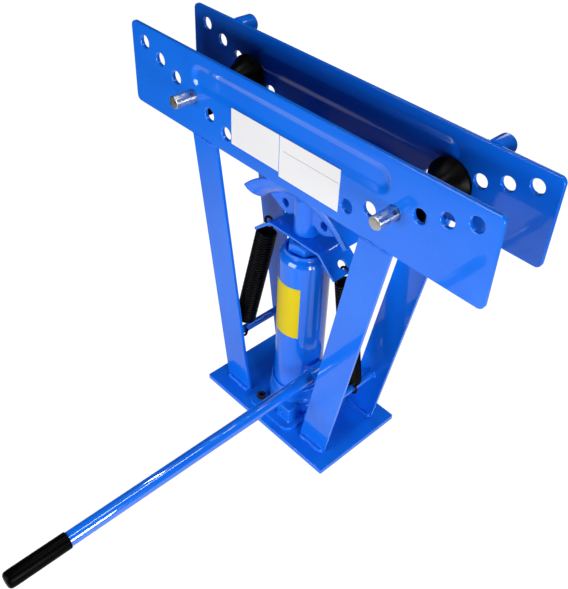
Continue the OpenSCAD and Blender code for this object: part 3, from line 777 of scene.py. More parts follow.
@dataclass
class Sheet:
    """A blank cut from sheet or bar, with rounded edges, that is then pressed, bent or just placed.

    Attributes:
        outline: the blank's edge.
        holes: closed loops cut out of it.
        thickness: of the sheet, in millimetres.
        edge: radius of its edges.
        lines: closed loops that the surface's points must follow.
        edge_steps: faces across each rounded edge's quarter.
    """

    outline: Sequence[Point2]
    holes: Sequence[Sequence[Point2]] = ()
    thickness: float = 6.0
    edge: float = 0.6
    lines: Sequence[Sequence[Point2]] = ()
    edge_steps: int = 3

    def _face(self, loops: list[list[Point2]]) -> tuple[list[Point2], list[tuple[int, int, int]]]:
        """Triangulates the flat between the inset loops.

        Args:
            loops: the inset outline first, then the inset holes.

        Returns:
            The face's points, the loops' own points first, and its triangles.
        """
        points: list[Point2] = []
        edges: list[tuple[int, int]] = []
        for loop in [*loops, *self.lines]:
            start = len(points)
            points += list(loop)
            edges += [(start + i, start + (i + 1) % len(loop)) for i in range(len(loop))]
        result = delaunay_2d_cdt([Vector(p) for p in points], edges, [], 0, 1e-5, True)
        origin = [ids[0] for ids in result[3]]
        triangles = np.array([[origin[v] for v in face] for face in result[2]])
        flat = np.array(points)
        centres = flat[triangles].mean(axis=1)
        keep = inside(centres, loops[0])
        for hole in loops[1:]:
            keep &= ~inside(centres, hole)
        return points, [tuple(int(v) for v in t) for t in triangles[keep]]

    def build(self, name: str, place: Place, material: bpy.types.Material,
              sharp: float = 50.0) -> bpy.types.Object:
        """Builds the sheet.

        Args:
            name: the piece's name.
            place: maps (u, v, height off the sheet's middle) to millimetres in the frame.
            material: its finish.
            sharp: edges that bend by more degrees than this stay sharp.

        Returns:
            The new object.
        """
        edges = [turned(self.outline, True)] + [turned(h, False) for h in self.holes]
        half = self.thickness / 2
        top, triangles = self._face([inset(loop, self.edge) for loop in edges])
        points: list[Point3] = [place(u, v, half) for u, v in top]
        under = len(points)
        points += [place(u, v, -half) for u, v in top]
        faces: list[tuple[int, ...]] = list(triangles)
        faces += [(under + c, under + b, under + a) for a, b, c in triangles]
        start = 0
        for loop in edges:
            count = len(loop)
            rings = [[start + i for i in range(count)]]
            for side in (1, -1):
                angles = [math.pi / 2 * k / self.edge_steps for k in range(1, self.edge_steps + 1)]
                for angle in angles if side > 0 else reversed(angles):
                    moved = inset(loop, self.edge * (1 - math.sin(angle)))
                    height = side * (half - self.edge * (1 - math.cos(angle)))
                    rings.append([len(points) + i for i in range(count)])
                    points += [place(u, v, height) for u, v in moved]
            rings.append([under + start + i for i in range(count)])
            for upper, lower in zip(rings, rings[1:]):
                for i in range(count):
                    j = (i + 1) % count
                    faces.append((upper[i], lower[i], lower[j], upper[j]))
            start += count
        return weighted(solid(name, points, faces, material, sharp))


class Shaper:
    """Makes softened or cast-looking copies of CAD nodes."""

    @staticmethod
    def copy(node: str, name: str, material: bpy.types.Material) -> bpy.types.Object:
        """Copies a CAD node's mesh and merges its split corners.

        Args:
            node: the CAD node.
            name: the piece's name.
            material: its finish.

        Returns:
            The new object.
        """
        mesh = bpy.data.objects[node].data.copy()
        shape = bmesh.new()
        shape.from_mesh(mesh)
        bmesh.ops.remove_doubles(shape, verts=shape.verts, dist=2e-6)
        bmesh.ops.dissolve_limit(shape, angle_limit=math.radians(0.4), verts=shape.verts, edges=shape.edges,
                                 use_dissolve_boundaries=False)
        shape.to_mesh(mesh)
        shape.free()
        mesh.shade_smooth()
        mesh.set_sharp_from_angle(angle=CREASE)
        if "custom_normal" in mesh.attributes:
            mesh.attributes.remove(mesh.attributes["custom_normal"])
        return link(name, mesh, material)

    @classmethod
    def bevelled(cls, node: str, name: str, material: bpy.types.Material, width: float,
                 steps: int = 2) -> bpy.types.Object:
        """A copy with its edges rounded.

        Args:
            node: the CAD node.
            name: the piece's name.
            material: its finish.
            width: size of the round, in millimetres.
            steps: pieces of each round.

        Returns:
            The new object.
        """
        obj = cls.copy(node, name, material)
        bevel = obj.modifiers.new("edges", "BEVEL")
        bevel.width = width * MM
        bevel.segments = steps
        bevel.limit_method = "ANGLE"
        bevel.angle_limit = CREASE
        bevel.use_clamp_overlap = True
        return weighted(settled(obj))

    @classmethod
    def cast(cls, node: str, name: str, material: bpy.types.Material, grid: float,
             rounds: int) -> bpy.types.Object:
        """A copy with the soft edges and filled corners of a casting.

        Args:
            node: the CAD node.
            name: the piece's name.
            material: its finish.
            grid: size of the remeshed faces, in millimetres.
            rounds: smoothing passes, each of which softens the edges a little more.

        Returns:
            The new object.
        """
        obj = cls.copy(node, name, material)
        remesh = obj.modifiers.new("grid", "REMESH")
        remesh.mode = "VOXEL"
        remesh.voxel_size = grid * MM
        remesh.use_smooth_shade = True
        smooth = obj.modifiers.new("soft", "SMOOTH")
        smooth.factor = 0.5
        smooth.iterations = rounds
        obj = settled(obj)
        obj.data.shade_smooth()
        obj.data.materials.clear()
        obj.data.materials.append(material)
        return obj


# Modifier trees


class ModifierTree(TreeBuilder):
    """A Geometry Nodes tree with named inputs, used once for each piece and then made plain mesh."""

    def __init__(self, name: str, inputs: dict[str, str]) -> None:
        """Creates the tree and its interface.

        Args:
            name: the tree's name.
            inputs: socket type by input name, after the geometry.
        """
        tree = bpy.data.node_groups.new(name, "GeometryNodeTree")
        super().__init__(tree)
        tree.interface.new_socket("Geometry", in_out="INPUT", socket_type="NodeSocketGeometry")
        for title, kind in inputs.items():
            tree.interface.new_socket(title, in_out="INPUT", socket_type=kind)
        tree.interface.new_socket("Geometry", in_out="OUTPUT", socket_type="NodeSocketGeometry")
        self.entry = self.node("NodeGroupInput")

    def given(self, title: str) -> Wire:
        """One of the tree's inputs."""
        return self.wire(self.entry, title)

    def close(self, geometry: Wire) -> None:
        """Ends the tree in smooth, real and painted geometry.

        Args:
            geometry: what the tree has made.
        """
        smooth = self.node("GeometryNodeSetShadeSmooth", None, {"Geometry": geometry})
        real = self.node("GeometryNodeRealizeInstances", None, {0: self.wire(smooth)})
        painted = self.node("GeometryNodeSetMaterial", None, {
            "Geometry": self.wire(real), "Material": self.given("Material")})
        self.node("NodeGroupOutput", None, {0: self.wire(painted)})

    def apply(self, obj: bpy.types.Object, **values: object) -> bpy.types.Object:
        """Runs the tree on an object and returns the plain result.

        Args:
            obj: the path or points that the tree works on.
            **values: the tree's inputs, with _ for each space.

        Returns:
            A new object of the same name.
        """
        modifier = obj.modifiers.new(self.tree.name, "NODES")
        modifier.node_group = self.tree
        sockets = {s.name: s.identifier for s in self.tree.interface.items_tree if s.in_out == "INPUT"}
        for title, value in values.items():
            modifier[sockets[title.replace("_", " ")]] = value
        return settled(obj)


def path_object(name: str, points: Sequence[Point3]) -> bpy.types.Object:
    """Makes an open line of edges.

    Args:
        name: the object's name.
        points: the line's points, in millimetres.

    Returns:
        The new object.
    """
    mesh = bpy.data.meshes.new(name)
    edges = [(i, i + 1) for i in range(len(points) - 1)]
    mesh.from_pydata([tuple(c * MM for c in p) for p in points], edges, [])
    return link(name, mesh, None)


class WireSweep(ModifierTree):
    """Sweeps a round wire along a path."""

    def __init__(self) -> None:
        """Builds the tree."""
        super().__init__("wire sweep", {
            "Radius": "NodeSocketFloat", "Sides": "NodeSocketInt", "Material": "NodeSocketMaterial"})
        curve = self.node("GeometryNodeMeshToCurve", None, {"Mesh": self.given("Geometry")})
        ring = self.node("GeometryNodeCurvePrimitiveCircle", None, {
            "Resolution": self.given("Sides"), "Radius": self.given("Radius")})
        swept = self.node("GeometryNodeCurveToMesh", None, {
            "Curve": self.wire(curve), "Profile Curve": self.wire(ring), "Fill Caps": True})
        self.close(self.wire(swept))


class WeldBead(ModifierTree):
    """Lays a rippled weld bead along a path, thinner at its ends."""

    def __init__(self) -> None:
        """Builds the tree."""
        super().__init__("weld bead", {
            "Radius": "NodeSocketFloat", "Ripple": "NodeSocketFloat", "Wander": "NodeSocketFloat",
            "Seed": "NodeSocketFloat", "Material": "NodeSocketMaterial"})
        curve = self.node("GeometryNodeMeshToCurve", None, {"Mesh": self.given("Geometry")})
        fine = self.node("GeometryNodeResampleCurve", {"mode": "LENGTH"}, {
            "Curve": self.wire(curve), "Length": self.given("Ripple") * 0.25})
        along = self.node("GeometryNodeSplineParameter")
        wave = abs(self.maths("SINE", self.wire(along, "Length") * math.pi / self.given("Ripple")))
        grain, blobs = self._noise(190.0), self._noise(60.0)
        ends = self.maths("MINIMUM", self.wire(along, "Factor"), 1 - self.wire(along, "Factor"))
        taper = self.between(ends, 0.0, 0.05, 0.45, 1.0)
        size = (wave * 0.14 + 0.42 + self.wire(grain, 0) * 0.3 + self.wire(blobs, 0) * 0.62) * taper
        drift = self.node("ShaderNodeVectorMath", {"operation": "SUBTRACT"}, {
            0: self.wire(blobs, 1), 1: (0.5, 0.5, 0.5)})
        aside = self.node("ShaderNodeVectorMath", {"operation": "SCALE"}, {
            0: self.wire(drift), "Scale": self.given("Wander")})
        moved = self.node("GeometryNodeSetPosition", None, {
            "Geometry": self.wire(fine), "Offset": self.wire(aside)})
        sized = self.node("GeometryNodeSetCurveRadius", None, {"Curve": self.wire(moved), "Radius": size})
        ring = self.node("GeometryNodeCurvePrimitiveCircle", None, {
            "Resolution": 10, "Radius": self.given("Radius")})
        swept = self.node("GeometryNodeCurveToMesh", None, {
            "Curve": self.wire(sized), "Profile Curve": self.wire(ring), "Fill Caps": True})
        if "Scale" in swept.inputs:
            radius = self.node("GeometryNodeInputRadius")
            self.tree.links.new(self.wire(radius).socket, swept.inputs["Scale"])
        self.close(self.wire(swept))

    def _noise(self, scale: float) -> bpy.types.Node:
        """Noise that follows the bead's seed."""
        return self.node("ShaderNodeTexNoise", {"noise_dimensions": "4D"}, {
            "W": self.given("Seed"), "Scale": scale})

    def lay(self, name: str, line: Sequence[Point3], sizes: Point3, seed: float,
            material: bpy.types.Material, body: str = "frame") -> None:
        """Lays a bead and puts it on its body.

        Args:
            name: the bead's name.
            line: the points that it follows, in millimetres.
            sizes: its radius, its ripples' length and how far it wanders, in millimetres.
            seed: makes one bead unlike the next.
            material: its finish.
            body: the CAD body that carries it.
        """
        radius, ripple, wander = (size * MM for size in sizes)
        bead = self.apply(path_object(name, line), Radius=radius, Ripple=ripple, Wander=wander, Seed=seed,
                          Material=material)
        adopt(bead, body, Slot.BLUE)


class CapScrews(ModifierTree):
    """Puts a socket cap screw on every point."""

    def __init__(self) -> None:
        """Builds the tree."""
        super().__init__("cap screws", {
            "Screw": "NodeSocketObject", "Seed": "NodeSocketInt", "Material": "NodeSocketMaterial"})
        info = self.node("GeometryNodeObjectInfo", None, {"Object": self.given("Screw"), "As Instance": True})
        turn = self.node("FunctionNodeRandomValue", {"data_type": "FLOAT_VECTOR"}, {
            0: (0.0, 0.0, 0.0), 1: (0.0, 0.0, 2 * math.pi), "Seed": self.given("Seed")})
        spread = self.node("GeometryNodeInstanceOnPoints", None, {
            "Points": self.given("Geometry"), "Instance": self.wire(info, "Geometry"),
            "Rotation": self.wire(turn, 0)})
        self.close(self.wire(spread))


# The frame


@dataclass
class SidePlate:
    """One of the two long plates, with its pin holes and its pressed recess.

    Attributes:
        side: -1 for the front plate and 1 for the back plate.
        depth: how far the recess is pressed in.
        wall: where the recess's slope starts and ends, from its middle line.
    """

    side: int
    length: float = 600.0
    low: float = 415.0
    high: float = 531.0
    inner_y: float = 49.5
    thickness: float = 6.0
    edge: float = 1.2
    corner: float = 8.0
    hole_r: float = 9.0
    first_hole: Point2 = (105.0, 443.0)
    hole_step: Point2 = (33.4, 13.1)
    hole_count: int = 6
    recess_len: float = 300.0
    recess_z: float = 499.5
    recess_shift: float = 5.0
    depth: float = 3.5
    wall: tuple[float, float] = (8.5, 19.5)

    def _holes(self) -> list[list[Point2]]:
        """Lays out the pin holes of both ends.

        Returns:
            A loop for each hole.
        """
        spots = [(self.first_hole[0] + i * self.hole_step[0], self.first_hole[1] + i * self.hole_step[1])
                 for i in range(self.hole_count)]
        return [circle(s * x, z, self.hole_r, 40) for s in (-1, 1) for x, z in spots]

    def _contour(self, reach: float) -> list[Point2]:
        """Draws a long loop round the recess.

        Args:
            reach: its distance from the recess's middle line.

        Returns:
            The loop's points.
        """
        half = self.recess_len / 2
        middle = self.side * self.recess_shift
        arc_steps, run_steps = 24, 12
        loop: list[Point2] = []
        for sign in (1, -1):
            for k in range(arc_steps + 1):
                angle = math.radians(180 * k / arc_steps - 90)
                loop.append((middle + sign * (half + reach * math.cos(angle)),
                             self.recess_z + sign * reach * math.sin(angle)))
            for k in range(1, run_steps):
                loop.append((middle + sign * half * (1 - 2 * k / run_steps), self.recess_z + sign * reach))
        return loop

    def _press(self, x: float, z: float) -> float:
        """Works out how far the plate is pressed inward.

        Args:
            x: the point's place along the plate.
            z: its height.

        Returns:
            The depth at that point.
        """
        beyond = abs(x - self.side * self.recess_shift) - self.recess_len / 2
        reach = math.hypot(max(beyond, 0.0), z - self.recess_z)
        low, high = self.wall
        t = min(max((reach - low) / (high - low), 0.0), 1.0)
        return self.depth * (1 - t * t * (3 - 2 * t))

    def build(self, palette: Palette) -> None:
        """Builds the plate.

        Args:
            palette: the finishes.
        """
        low, high = self.wall
        outline = filleted([
            (-self.length / 2, self.low, self.corner), (self.length / 2, self.low, self.corner),
            (self.length / 2, self.high, self.corner), (-self.length / 2, self.high, self.corner)], 8)
        rings = 8
        slope = [self._contour(low + (high - low) * k / (rings - 1)) for k in range(rings)]
        sheet = Sheet(outline, self._holes(), self.thickness, self.edge, slope)
        middle = self.inner_y + self.thickness / 2

        def place(x: float, z: float, height: float) -> Point3:
            """Presses a point of the blank and stands it up."""
            return (x, self.side * (middle - height - self._press(x, z)), z)

        name = "front" if self.side < 0 else "back"
        plate = sheet.build(f"side_plate_{name}_pressed", place, palette.plate_blue)
        adopt(plate, "frame", Slot.BLUE, f"side_plate_{name}")


@dataclass
class Leg:
    """A leg of flat bar that leans outward to the top, with its welds.

    Attributes:
        side: -1 for left and 1 for right.
        row: -1 for front and 1 for back.
    """

    side: int
    row: int
    foot_x: float = 82.0
    head_x: float = 152.0
    foot_z: float = 8.0
    head_z: float = 415.0
    width: float = 48.0
    outer_y: float = 54.0
    thickness: float = 5.0
    edge: float = 0.9

    def _half(self) -> float:
        """Half of the bar's level width."""
        lean = math.atan((self.head_x - self.foot_x) / (self.head_z - self.foot_z))
        return self.width / 2 / math.cos(lean)

    def build(self, palette: Palette, bead: WeldBead) -> None:
        """Builds the bar and the beads at both ends.

        Args:
            palette: the finishes.
            bead: lays the welds.
        """
        half = self._half()
        corners = [(self.foot_x - half, self.foot_z), (self.foot_x + half, self.foot_z),
                   (self.head_x + half, self.head_z), (self.head_x - half, self.head_z)]
        middle = self.outer_y - self.thickness / 2

        def place(x: float, z: float, height: float) -> Point3:
            """Stands the bar in its corner of the frame."""
            return (self.side * x, self.row * (middle + height), z)

        name = f"leg_{'front' if self.row < 0 else 'back'}_{'left' if self.side < 0 else 'right'}"
        bar = Sheet(corners, (), self.thickness, self.edge).build(f"{name}_bar", place, palette.blue)
        adopt(bar, "frame", Slot.BLUE, name)
        inner = self.outer_y - self.thickness
        # Middle x, z, y and radius of each bead
        runs = {
            "head_out": (self.head_x, self.head_z - 0.6, self.outer_y - 0.4, 3.0),
            "head_in": (self.head_x, self.head_z - 0.8, inner + 0.8, 2.8),
            "foot_out": (self.foot_x, self.foot_z + 0.8, self.outer_y + 0.6, 4.4),
            "foot_in": (self.foot_x, self.foot_z + 0.6, inner - 0.4, 4.0)}
        reach = half - 1.5
        steps = 20
        for number, (end, (x, z, y, radius)) in enumerate(runs.items()):
            line = [(self.side * (x + reach * (2 * k / steps - 1)), self.row * y, z)
                    for k in range(steps + 1)]
            seed = number + 5.0 * self.side + 11.0 * self.row
            bead.lay(f"{name}_weld_{end}", line, (radius, 2.6, 3.5), seed, palette.weld_blue)


@dataclass
class Foot:
    """The base plate."""

    length: float = 254.0
    width: float = 158.0
    thickness: float = 8.0
    corner: float = 2.0
    edge: float = 0.9
    hole_r: float = 4.05

    def build(self, palette: Palette) -> None:
        """Builds the plate with its screw holes.

        Args:
            palette: the finishes.
        """
        x, y = self.length / 2, self.width / 2
        outline = filleted([(u, v, self.corner) for u, v in ((-x, -y), (x, -y), (x, y), (-x, y))], 4)
        holes = [circle(*spot, self.hole_r, 24) for spot in SCREW_SPOTS]
        sheet = Sheet(outline, holes, self.thickness, self.edge)
        plate = sheet.build("base_plate_cut", lambda u, v, h: (u, v, self.thickness / 2 + h), palette.blue)
        adopt(plate, "frame", Slot.BLUE, "base_plate")


@dataclass
class CrossParts:
    """The spring rods between the legs and the pegs behind the back plate."""

    rod_x: float = 97.48
    rod_z: float = 98.0
    rod_r: float = 6.0
    rod_half: float = 49.0
    peg_x: float = 211.0
    peg_z: float = 522.0
    peg_r: float = 12.5
    peg_from: float = 55.5
    peg_len: float = 26.0

    def _arc(self, x: float, y: float, z: float, radius: float, start: float, end: float) -> list[Point3]:
        """Draws an arc in the XZ plane.

        Args:
            x: its centre.
            y: its centre.
            z: its centre.
            radius: its radius.
            start: its first angle, in degrees.
            end: its last angle, in degrees.

        Returns:
            The arc's points.
        """
        steps = 40
        angles = [math.radians(start + (end - start) * k / steps) for k in range(steps + 1)]
        return [(x + radius * math.cos(a), y, z + radius * math.sin(a)) for a in angles]

    def build(self, palette: Palette, bead: WeldBead) -> None:
        """Builds both rods and both pegs, each with its weld.

        Args:
            palette: the finishes.
            bead: lays the welds.
        """
        for side, name in ((-1, "left"), (1, "right")):
            self._rod(side, name, palette, bead)
            self._peg(side, name, palette, bead)

    def _rod(self, side: int, name: str, palette: Palette, bead: WeldBead) -> None:
        """Builds one rod between the legs.

        Args:
            side: -1 for left and 1 for right.
            name: the side's name.
            palette: the finishes.
            bead: lays the welds.
        """
        x, half = side * self.rod_x, self.rod_half
        profile = [(0.0, -half), (self.rod_r, -half), (self.rod_r, half), (0.0, half)]
        rod = lathe(f"spring_rod_{name}_round", profile, along_y(x, 0.0, self.rod_z), palette.blue, 48)
        adopt(rod, "frame", Slot.BLUE, f"spring_rod_{name}")
        for row, end in ((-1, "front"), (1, "back")):
            arc = self._arc(x, row * (half - 0.7), self.rod_z, self.rod_r + 0.3, 15.0, 365.0)
            bead.lay(f"spring_rod_{name}_weld_{end}", arc, (2.3, 2.4, 0.8), 20.0 + side + 3 * row,
                     palette.weld_blue)

    def _peg(self, side: int, name: str, palette: Palette, bead: WeldBead) -> None:
        """Builds one peg behind the back plate.

        Args:
            side: -1 for left and 1 for right.
            name: the side's name.
            palette: the finishes.
            bead: lays the welds.
        """
        x, radius = side * self.peg_x, self.peg_r
        profile = filleted([(0.0, 0.0), (radius, 0.0), (radius, self.peg_len, 4.0), (0.0, self.peg_len)])
        place = along_y(x, self.peg_from, self.peg_z)
        adopt(lathe(f"rear_peg_{name}_turned", profile, place, palette.blue, 64), "frame", Slot.BLUE,
              f"rear_peg_{name}")
        arc = self._arc(x, self.peg_from + 0.6, self.peg_z, radius + 0.4, 142.0, 398.0)
        bead.lay(f"rear_peg_{name}_weld", arc, (2.6, 2.6, 1.0), 31.0 + side, palette.weld_blue)


@dataclass
class Roller:
    """A grooved roller and the pin it turns on.

    Attributes:
        side: -1 for left and 1 for right.
    """

    side: int
    x: float = 171.8
    z: float = 469.2
    outer_r: float = 30.0
    waist_r: float = 17.0
    half: float = 43.0
    rim: float = 5.0
    bore_r: float = 8.68
    pin_r: float = 8.6
    pin_front: float = -86.0
    head_y: float = 55.8
    head_r: float = 13.0
    head_t: float = 7.0
    clip_y: float = -61.5
    clip_r: float = 2.75

    def _profile(self) -> list[Point2]:
        """Draws the roller's closed profile, a groove of one arc between two rims.

        Returns:
            The profile's points.
        """
        groove = self.half - self.rim
        lip, slope, steps = 3.0, 5.0, 48
        depth = self.outer_r - self.waist_r
        arc_r = (groove * groove + depth * depth) / (2 * depth)
        reach = math.asin(groove / arc_r)
        profile: list[Point2] = [(self.bore_r, -self.half)]
        profile += filleted([(self.bore_r, -self.half), (self.outer_r, -self.half, 1.6),
                             (self.outer_r, -groove, 0.8), (self.outer_r - lip, -groove + slope)])[1:-1]
        for k in range(1, steps):
            angle = -reach + 2 * reach * k / steps
            profile.append((self.waist_r + arc_r * (1 - math.cos(angle)), arc_r * math.sin(angle)))
        profile += filleted([(self.outer_r - lip, groove - slope), (self.outer_r, groove, 0.8),
                             (self.outer_r, self.half, 1.6), (self.bore_r, self.half)])[1:-1]
        profile.append((self.bore_r, self.half))
        return profile

    def _pin(self, name: str, palette: Palette) -> bpy.types.Object:
        """Turns the pin, with its head at the back, and drills its cross hole at the front.

        Args:
            name: the pin's name.
            palette: the finishes.

        Returns:
            The pin.
        """
        length = self.head_y - self.pin_front
        profile = filleted([
            (0.0, 0.0), (self.pin_r, 0.0, 1.3), (self.pin_r, length), (self.head_r, length, 0.6),
            (self.head_r, length + self.head_t, 1.6), (0.0, length + self.head_t)], 4)
        pin = lathe(name, profile, along_y(self.side * self.x, self.pin_front, self.z), palette.zinc, 96)
        drill_place = Matrix.Translation((self.side * self.x, self.clip_y, self.z)) @ Matrix.Rotation(
            math.radians(45), 4, "Y")
        reach = 20.0
        tip = [(0.0, -reach), (self.clip_r, -reach), (self.clip_r, reach), (0.0, reach)]
        drill = lathe("clip drill", tip, drill_place, palette.zinc, 32)
        cut = pin.modifiers.new("clip hole", "BOOLEAN")
        cut.object = drill
        cut.solver = "EXACT"
        pin = settled(pin)
        bpy.data.objects.remove(drill)
        pin.data.set_sharp_from_angle(angle=math.radians(40))
        return pin

    def build(self, palette: Palette) -> None:
        """Builds the roller and its pin.

        Args:
            palette: the finishes.
        """
        name = "left" if self.side < 0 else "right"
        place = along_y(self.side * self.x, 0.0, self.z)
        roller = lathe(f"roller_{name}_turned", self._profile(), place, palette.black_roller, 128, 50)
        adopt(roller, f"roller_{name}", Slot.BLACK, f"roller_{name}")
        adopt(self._pin(f"pin_{name}_turned", palette), f"pin_{name}", Slot.ZINC, f"pin_{name}")


# The jack


@dataclass
class Jack:
    """The bottle jack on the base plate."""

    y: float = -6.0
    tube_r: float = 36.0
    tube_wall: float = 2.5
    tube_z: tuple[float, float] = (42.0, 286.0)
    cap_z: float = 297.0
    nut_flats: float = 44.0
    nut_h: float = 19.0
    ram_r: float = 16.0
    piston_r: float = 19.0
    nose_r: float = 12.0
    yoke_under: float = 324.0
    nose_top: float = 352.0
    filler_z: float = 256.0
    screw_seat: float = 14.0

    def build(self, palette: Palette, screws: CapScrews) -> None:
        """Builds the casting, the reservoir, the nut, the ram and the screws.

        Args:
            palette: the finishes.
            screws: places the cap screws.
        """
        base = Shaper.cast("jack_base", "jack_base_cast", palette.cast_blue, 0.9, 7)
        adopt(base, "frame", Slot.BLUE, "jack_base")
        self._reservoir(palette)
        self._nut(palette)
        self._ram(palette)
        self._screws(palette, screws)
        for node in ("overload_screw", "passage_plug"):
            adopt(Shaper.bevelled(node, f"{node}_turned", palette.blue, 0.4), "frame", Slot.BLUE, node)
        self._filler(palette)

    def _filler(self, palette: Palette) -> None:
        """Builds the rubber plug of the oil filler.

        Args:
            palette: the finishes.
        """
        stem_r, stem, head_r, head = 4.9, 8.0, 7.5, 3.0
        profile = filleted([
            (0.0, -stem), (stem_r, -stem, 0.5), (stem_r, 0.0), (head_r, 0.0, 0.5), (head_r, head, 1.2),
            (0.0, head)])
        place = along_y(0.0, self.y + self.tube_r, self.filler_z)
        filler = lathe("filler_plug_moulded", profile, place, palette.seal, 48)
        adopt(filler, "frame", Slot.RUBBER, "filler_plug")

    def _reservoir(self, palette: Palette) -> None:
        """Builds the tube and its rolled shoulder cap.

        Args:
            palette: the finishes.
        """
        low, high = self.tube_z
        inner = self.tube_r - self.tube_wall
        wall = [(inner, low), (self.tube_r, low), (self.tube_r, high), (inner, high)]
        tube = lathe("reservoir_tube_round", wall, along_z(0.0, self.y, 0.0), palette.blue, 160)
        adopt(tube, "frame", Slot.BLUE, "reservoir_tube")
        hole_r, ring_in, ring_out = 24.05, 26.0, 29.5
        profile = filleted([
            (hole_r, high), (self.tube_r, high), (self.tube_r - 0.3, high + 3, 2.5),
            (self.tube_r - 2.5, high + 8, 4.0),
            (ring_out + 0.6, self.cap_z + 0.3, 1.2), (ring_out, self.cap_z + 2.2, 0.6),
            (ring_out, self.cap_z + 6, 1.5), (ring_in, self.cap_z + 6, 1.5), (ring_in, self.cap_z),
            (hole_r, self.cap_z)], 6)
        cap = lathe("reservoir_cap_rolled", profile, along_z(0.0, self.y, 0.0), palette.blue, 160, 60)
        adopt(cap, "frame", Slot.BLUE, "reservoir_cap")

    def _nut(self, palette: Palette) -> None:
        """Builds the hexagonal nut with a chamfered top.

        Args:
            palette: the finishes.
        """
        flat = self.nut_flats / 2
        segments = 180
        bore, wiper, wiper_h = self.ram_r + 0.05, self.ram_r + 2.5, 4.5
        top, foot = self.cap_z + self.nut_h, self.cap_z - 25
        rings: list[list[Point3]] = []

        def ring(radius: Callable[[float], float], height: Callable[[float], float]) -> None:
            """Adds one ring of points.

            Args:
                radius: the ring's radius at an angle.
                height: its height at an angle.
            """
            points: list[Point3] = []
            for k in range(segments):
                angle = 2 * math.pi * k / segments
                reach = radius(angle)
                points.append((reach * math.cos(angle), self.y + reach * math.sin(angle), height(angle)))
            rings.append(points)

        def hexagon(angle: float) -> float:
            """The hexagon's reach at an angle, its corners a little worn."""
            local = (angle - math.radians(10)) % (math.pi / 3) - math.pi / 6
            return min(flat / math.cos(local), flat * 1.135)

        def shoulder(angle: float) -> float:
            """Where the chamfer meets the hexagon's side."""
            return top - 1.0 - (hexagon(angle) - flat * 0.96) * math.tan(math.radians(32))

        ring(lambda a: self.piston_r, lambda a: foot)
        ring(lambda a: self.piston_r, lambda a: self.cap_z)
        ring(hexagon, lambda a: self.cap_z)
        ring(hexagon, shoulder)
        ring(lambda a: flat * 0.93, lambda a: top)
        ring(lambda a: wiper, lambda a: top)
        ring(lambda a: wiper, lambda a: top - wiper_h)
        ring(lambda a: bore, lambda a: top - wiper_h)
        ring(lambda a: bore, lambda a: foot)
        points = [point for row in rings for point in row]
        faces = []
        for i in range(len(rings)):
            for k in range(segments):
                j, after = (i + 1) % len(rings), (k + 1) % segments
                faces.append((i * segments + k, i * segments + after, j * segments + after, j * segments + k))
        nut = solid("top_nut_hexagonal", points, faces, palette.blue, 25)
        adopt(nut, "frame", Slot.BLUE, "top_nut")

    def _ram(self, palette: Palette) -> None:
        """Builds the ram with its piston, its seal's groove and its nose.

        Args:
            palette: the finishes.
        """
        foot, top = 36.0, self.nose_top
        groove_r, groove_low, groove_high, piston_top = 16.0, foot + 4, foot + 9.9, foot + 14
        profile = filleted([
            (0.0, foot), (self.piston_r, foot, 0.6), (self.piston_r, groove_low), (groove_r, groove_low),
            (groove_r, groove_high), (self.piston_r, groove_high), (self.piston_r, piston_top, 0.6),
            (self.ram_r, piston_top), (self.ram_r, self.yoke_under, 0.8), (self.nose_r, self.yoke_under),
            (self.nose_r, top, 1.2), (0.0, top)])
        ram = lathe("ram_ground", profile, along_z(0.0, self.y, 0.0), palette.steel, 96)
        adopt(ram, "ram", Slot.STEEL, "ram")

    def _screws(self, palette: Palette, screws: CapScrews) -> None:
        """Builds the socket cap screws that hold the casting.

        Args:
            palette: the finishes.
            screws: places the cap screws.
        """
        stem_r, head_r, head_h, chamfer = 4.0, 6.5, 7.0, 0.6
        drive_half, drive_depth = 3.0015, 4.0
        foot, axis = 1.0 - self.screw_seat, 0.001
        segments = 48

        def hexagon(angle: float) -> float:
            """The drive's reach at an angle."""
            return drive_half / math.cos(angle % (math.pi / 3) - math.pi / 6)

        outline: list[tuple[float | None, float]] = [
            (axis, foot), (stem_r, foot), (stem_r, 0.0), (head_r, 0.0), (head_r, head_h - chamfer),
            (head_r - chamfer, head_h), (3.95, head_h), (None, head_h - 0.4), (None, head_h - drive_depth),
            (axis, head_h - drive_depth)]
        points: list[Point3] = []
        for radius, height in outline:
            for k in range(segments):
                angle = 2 * math.pi * k / segments
                reach = hexagon(angle) if radius is None else radius
                points.append((reach * math.cos(angle), reach * math.sin(angle), height))
        last = len(outline) - 1
        faces = [(i * segments + k, i * segments + (k + 1) % segments,
                  (i + 1) * segments + (k + 1) % segments, (i + 1) * segments + k)
                 for i in range(last) for k in range(segments)]
        faces += [tuple(range(segments)), tuple(range(last * segments, len(outline) * segments))]
        pattern = solid("screw pattern", points, faces, palette.black_screw, 30)
        spots = bpy.data.meshes.new("jack_screws_set")
        spots.from_pydata([(x * MM, y * MM, self.screw_seat * MM) for x, y in SCREW_SPOTS], [], [])
        placed = screws.apply(link("jack_screws_set", spots, None), Screw=pattern, Seed=3,
                              Material=palette.black_screw)
        bpy.data.objects.remove(pattern)
        adopt(placed, "frame", Slot.BLACK, "jack_screws")


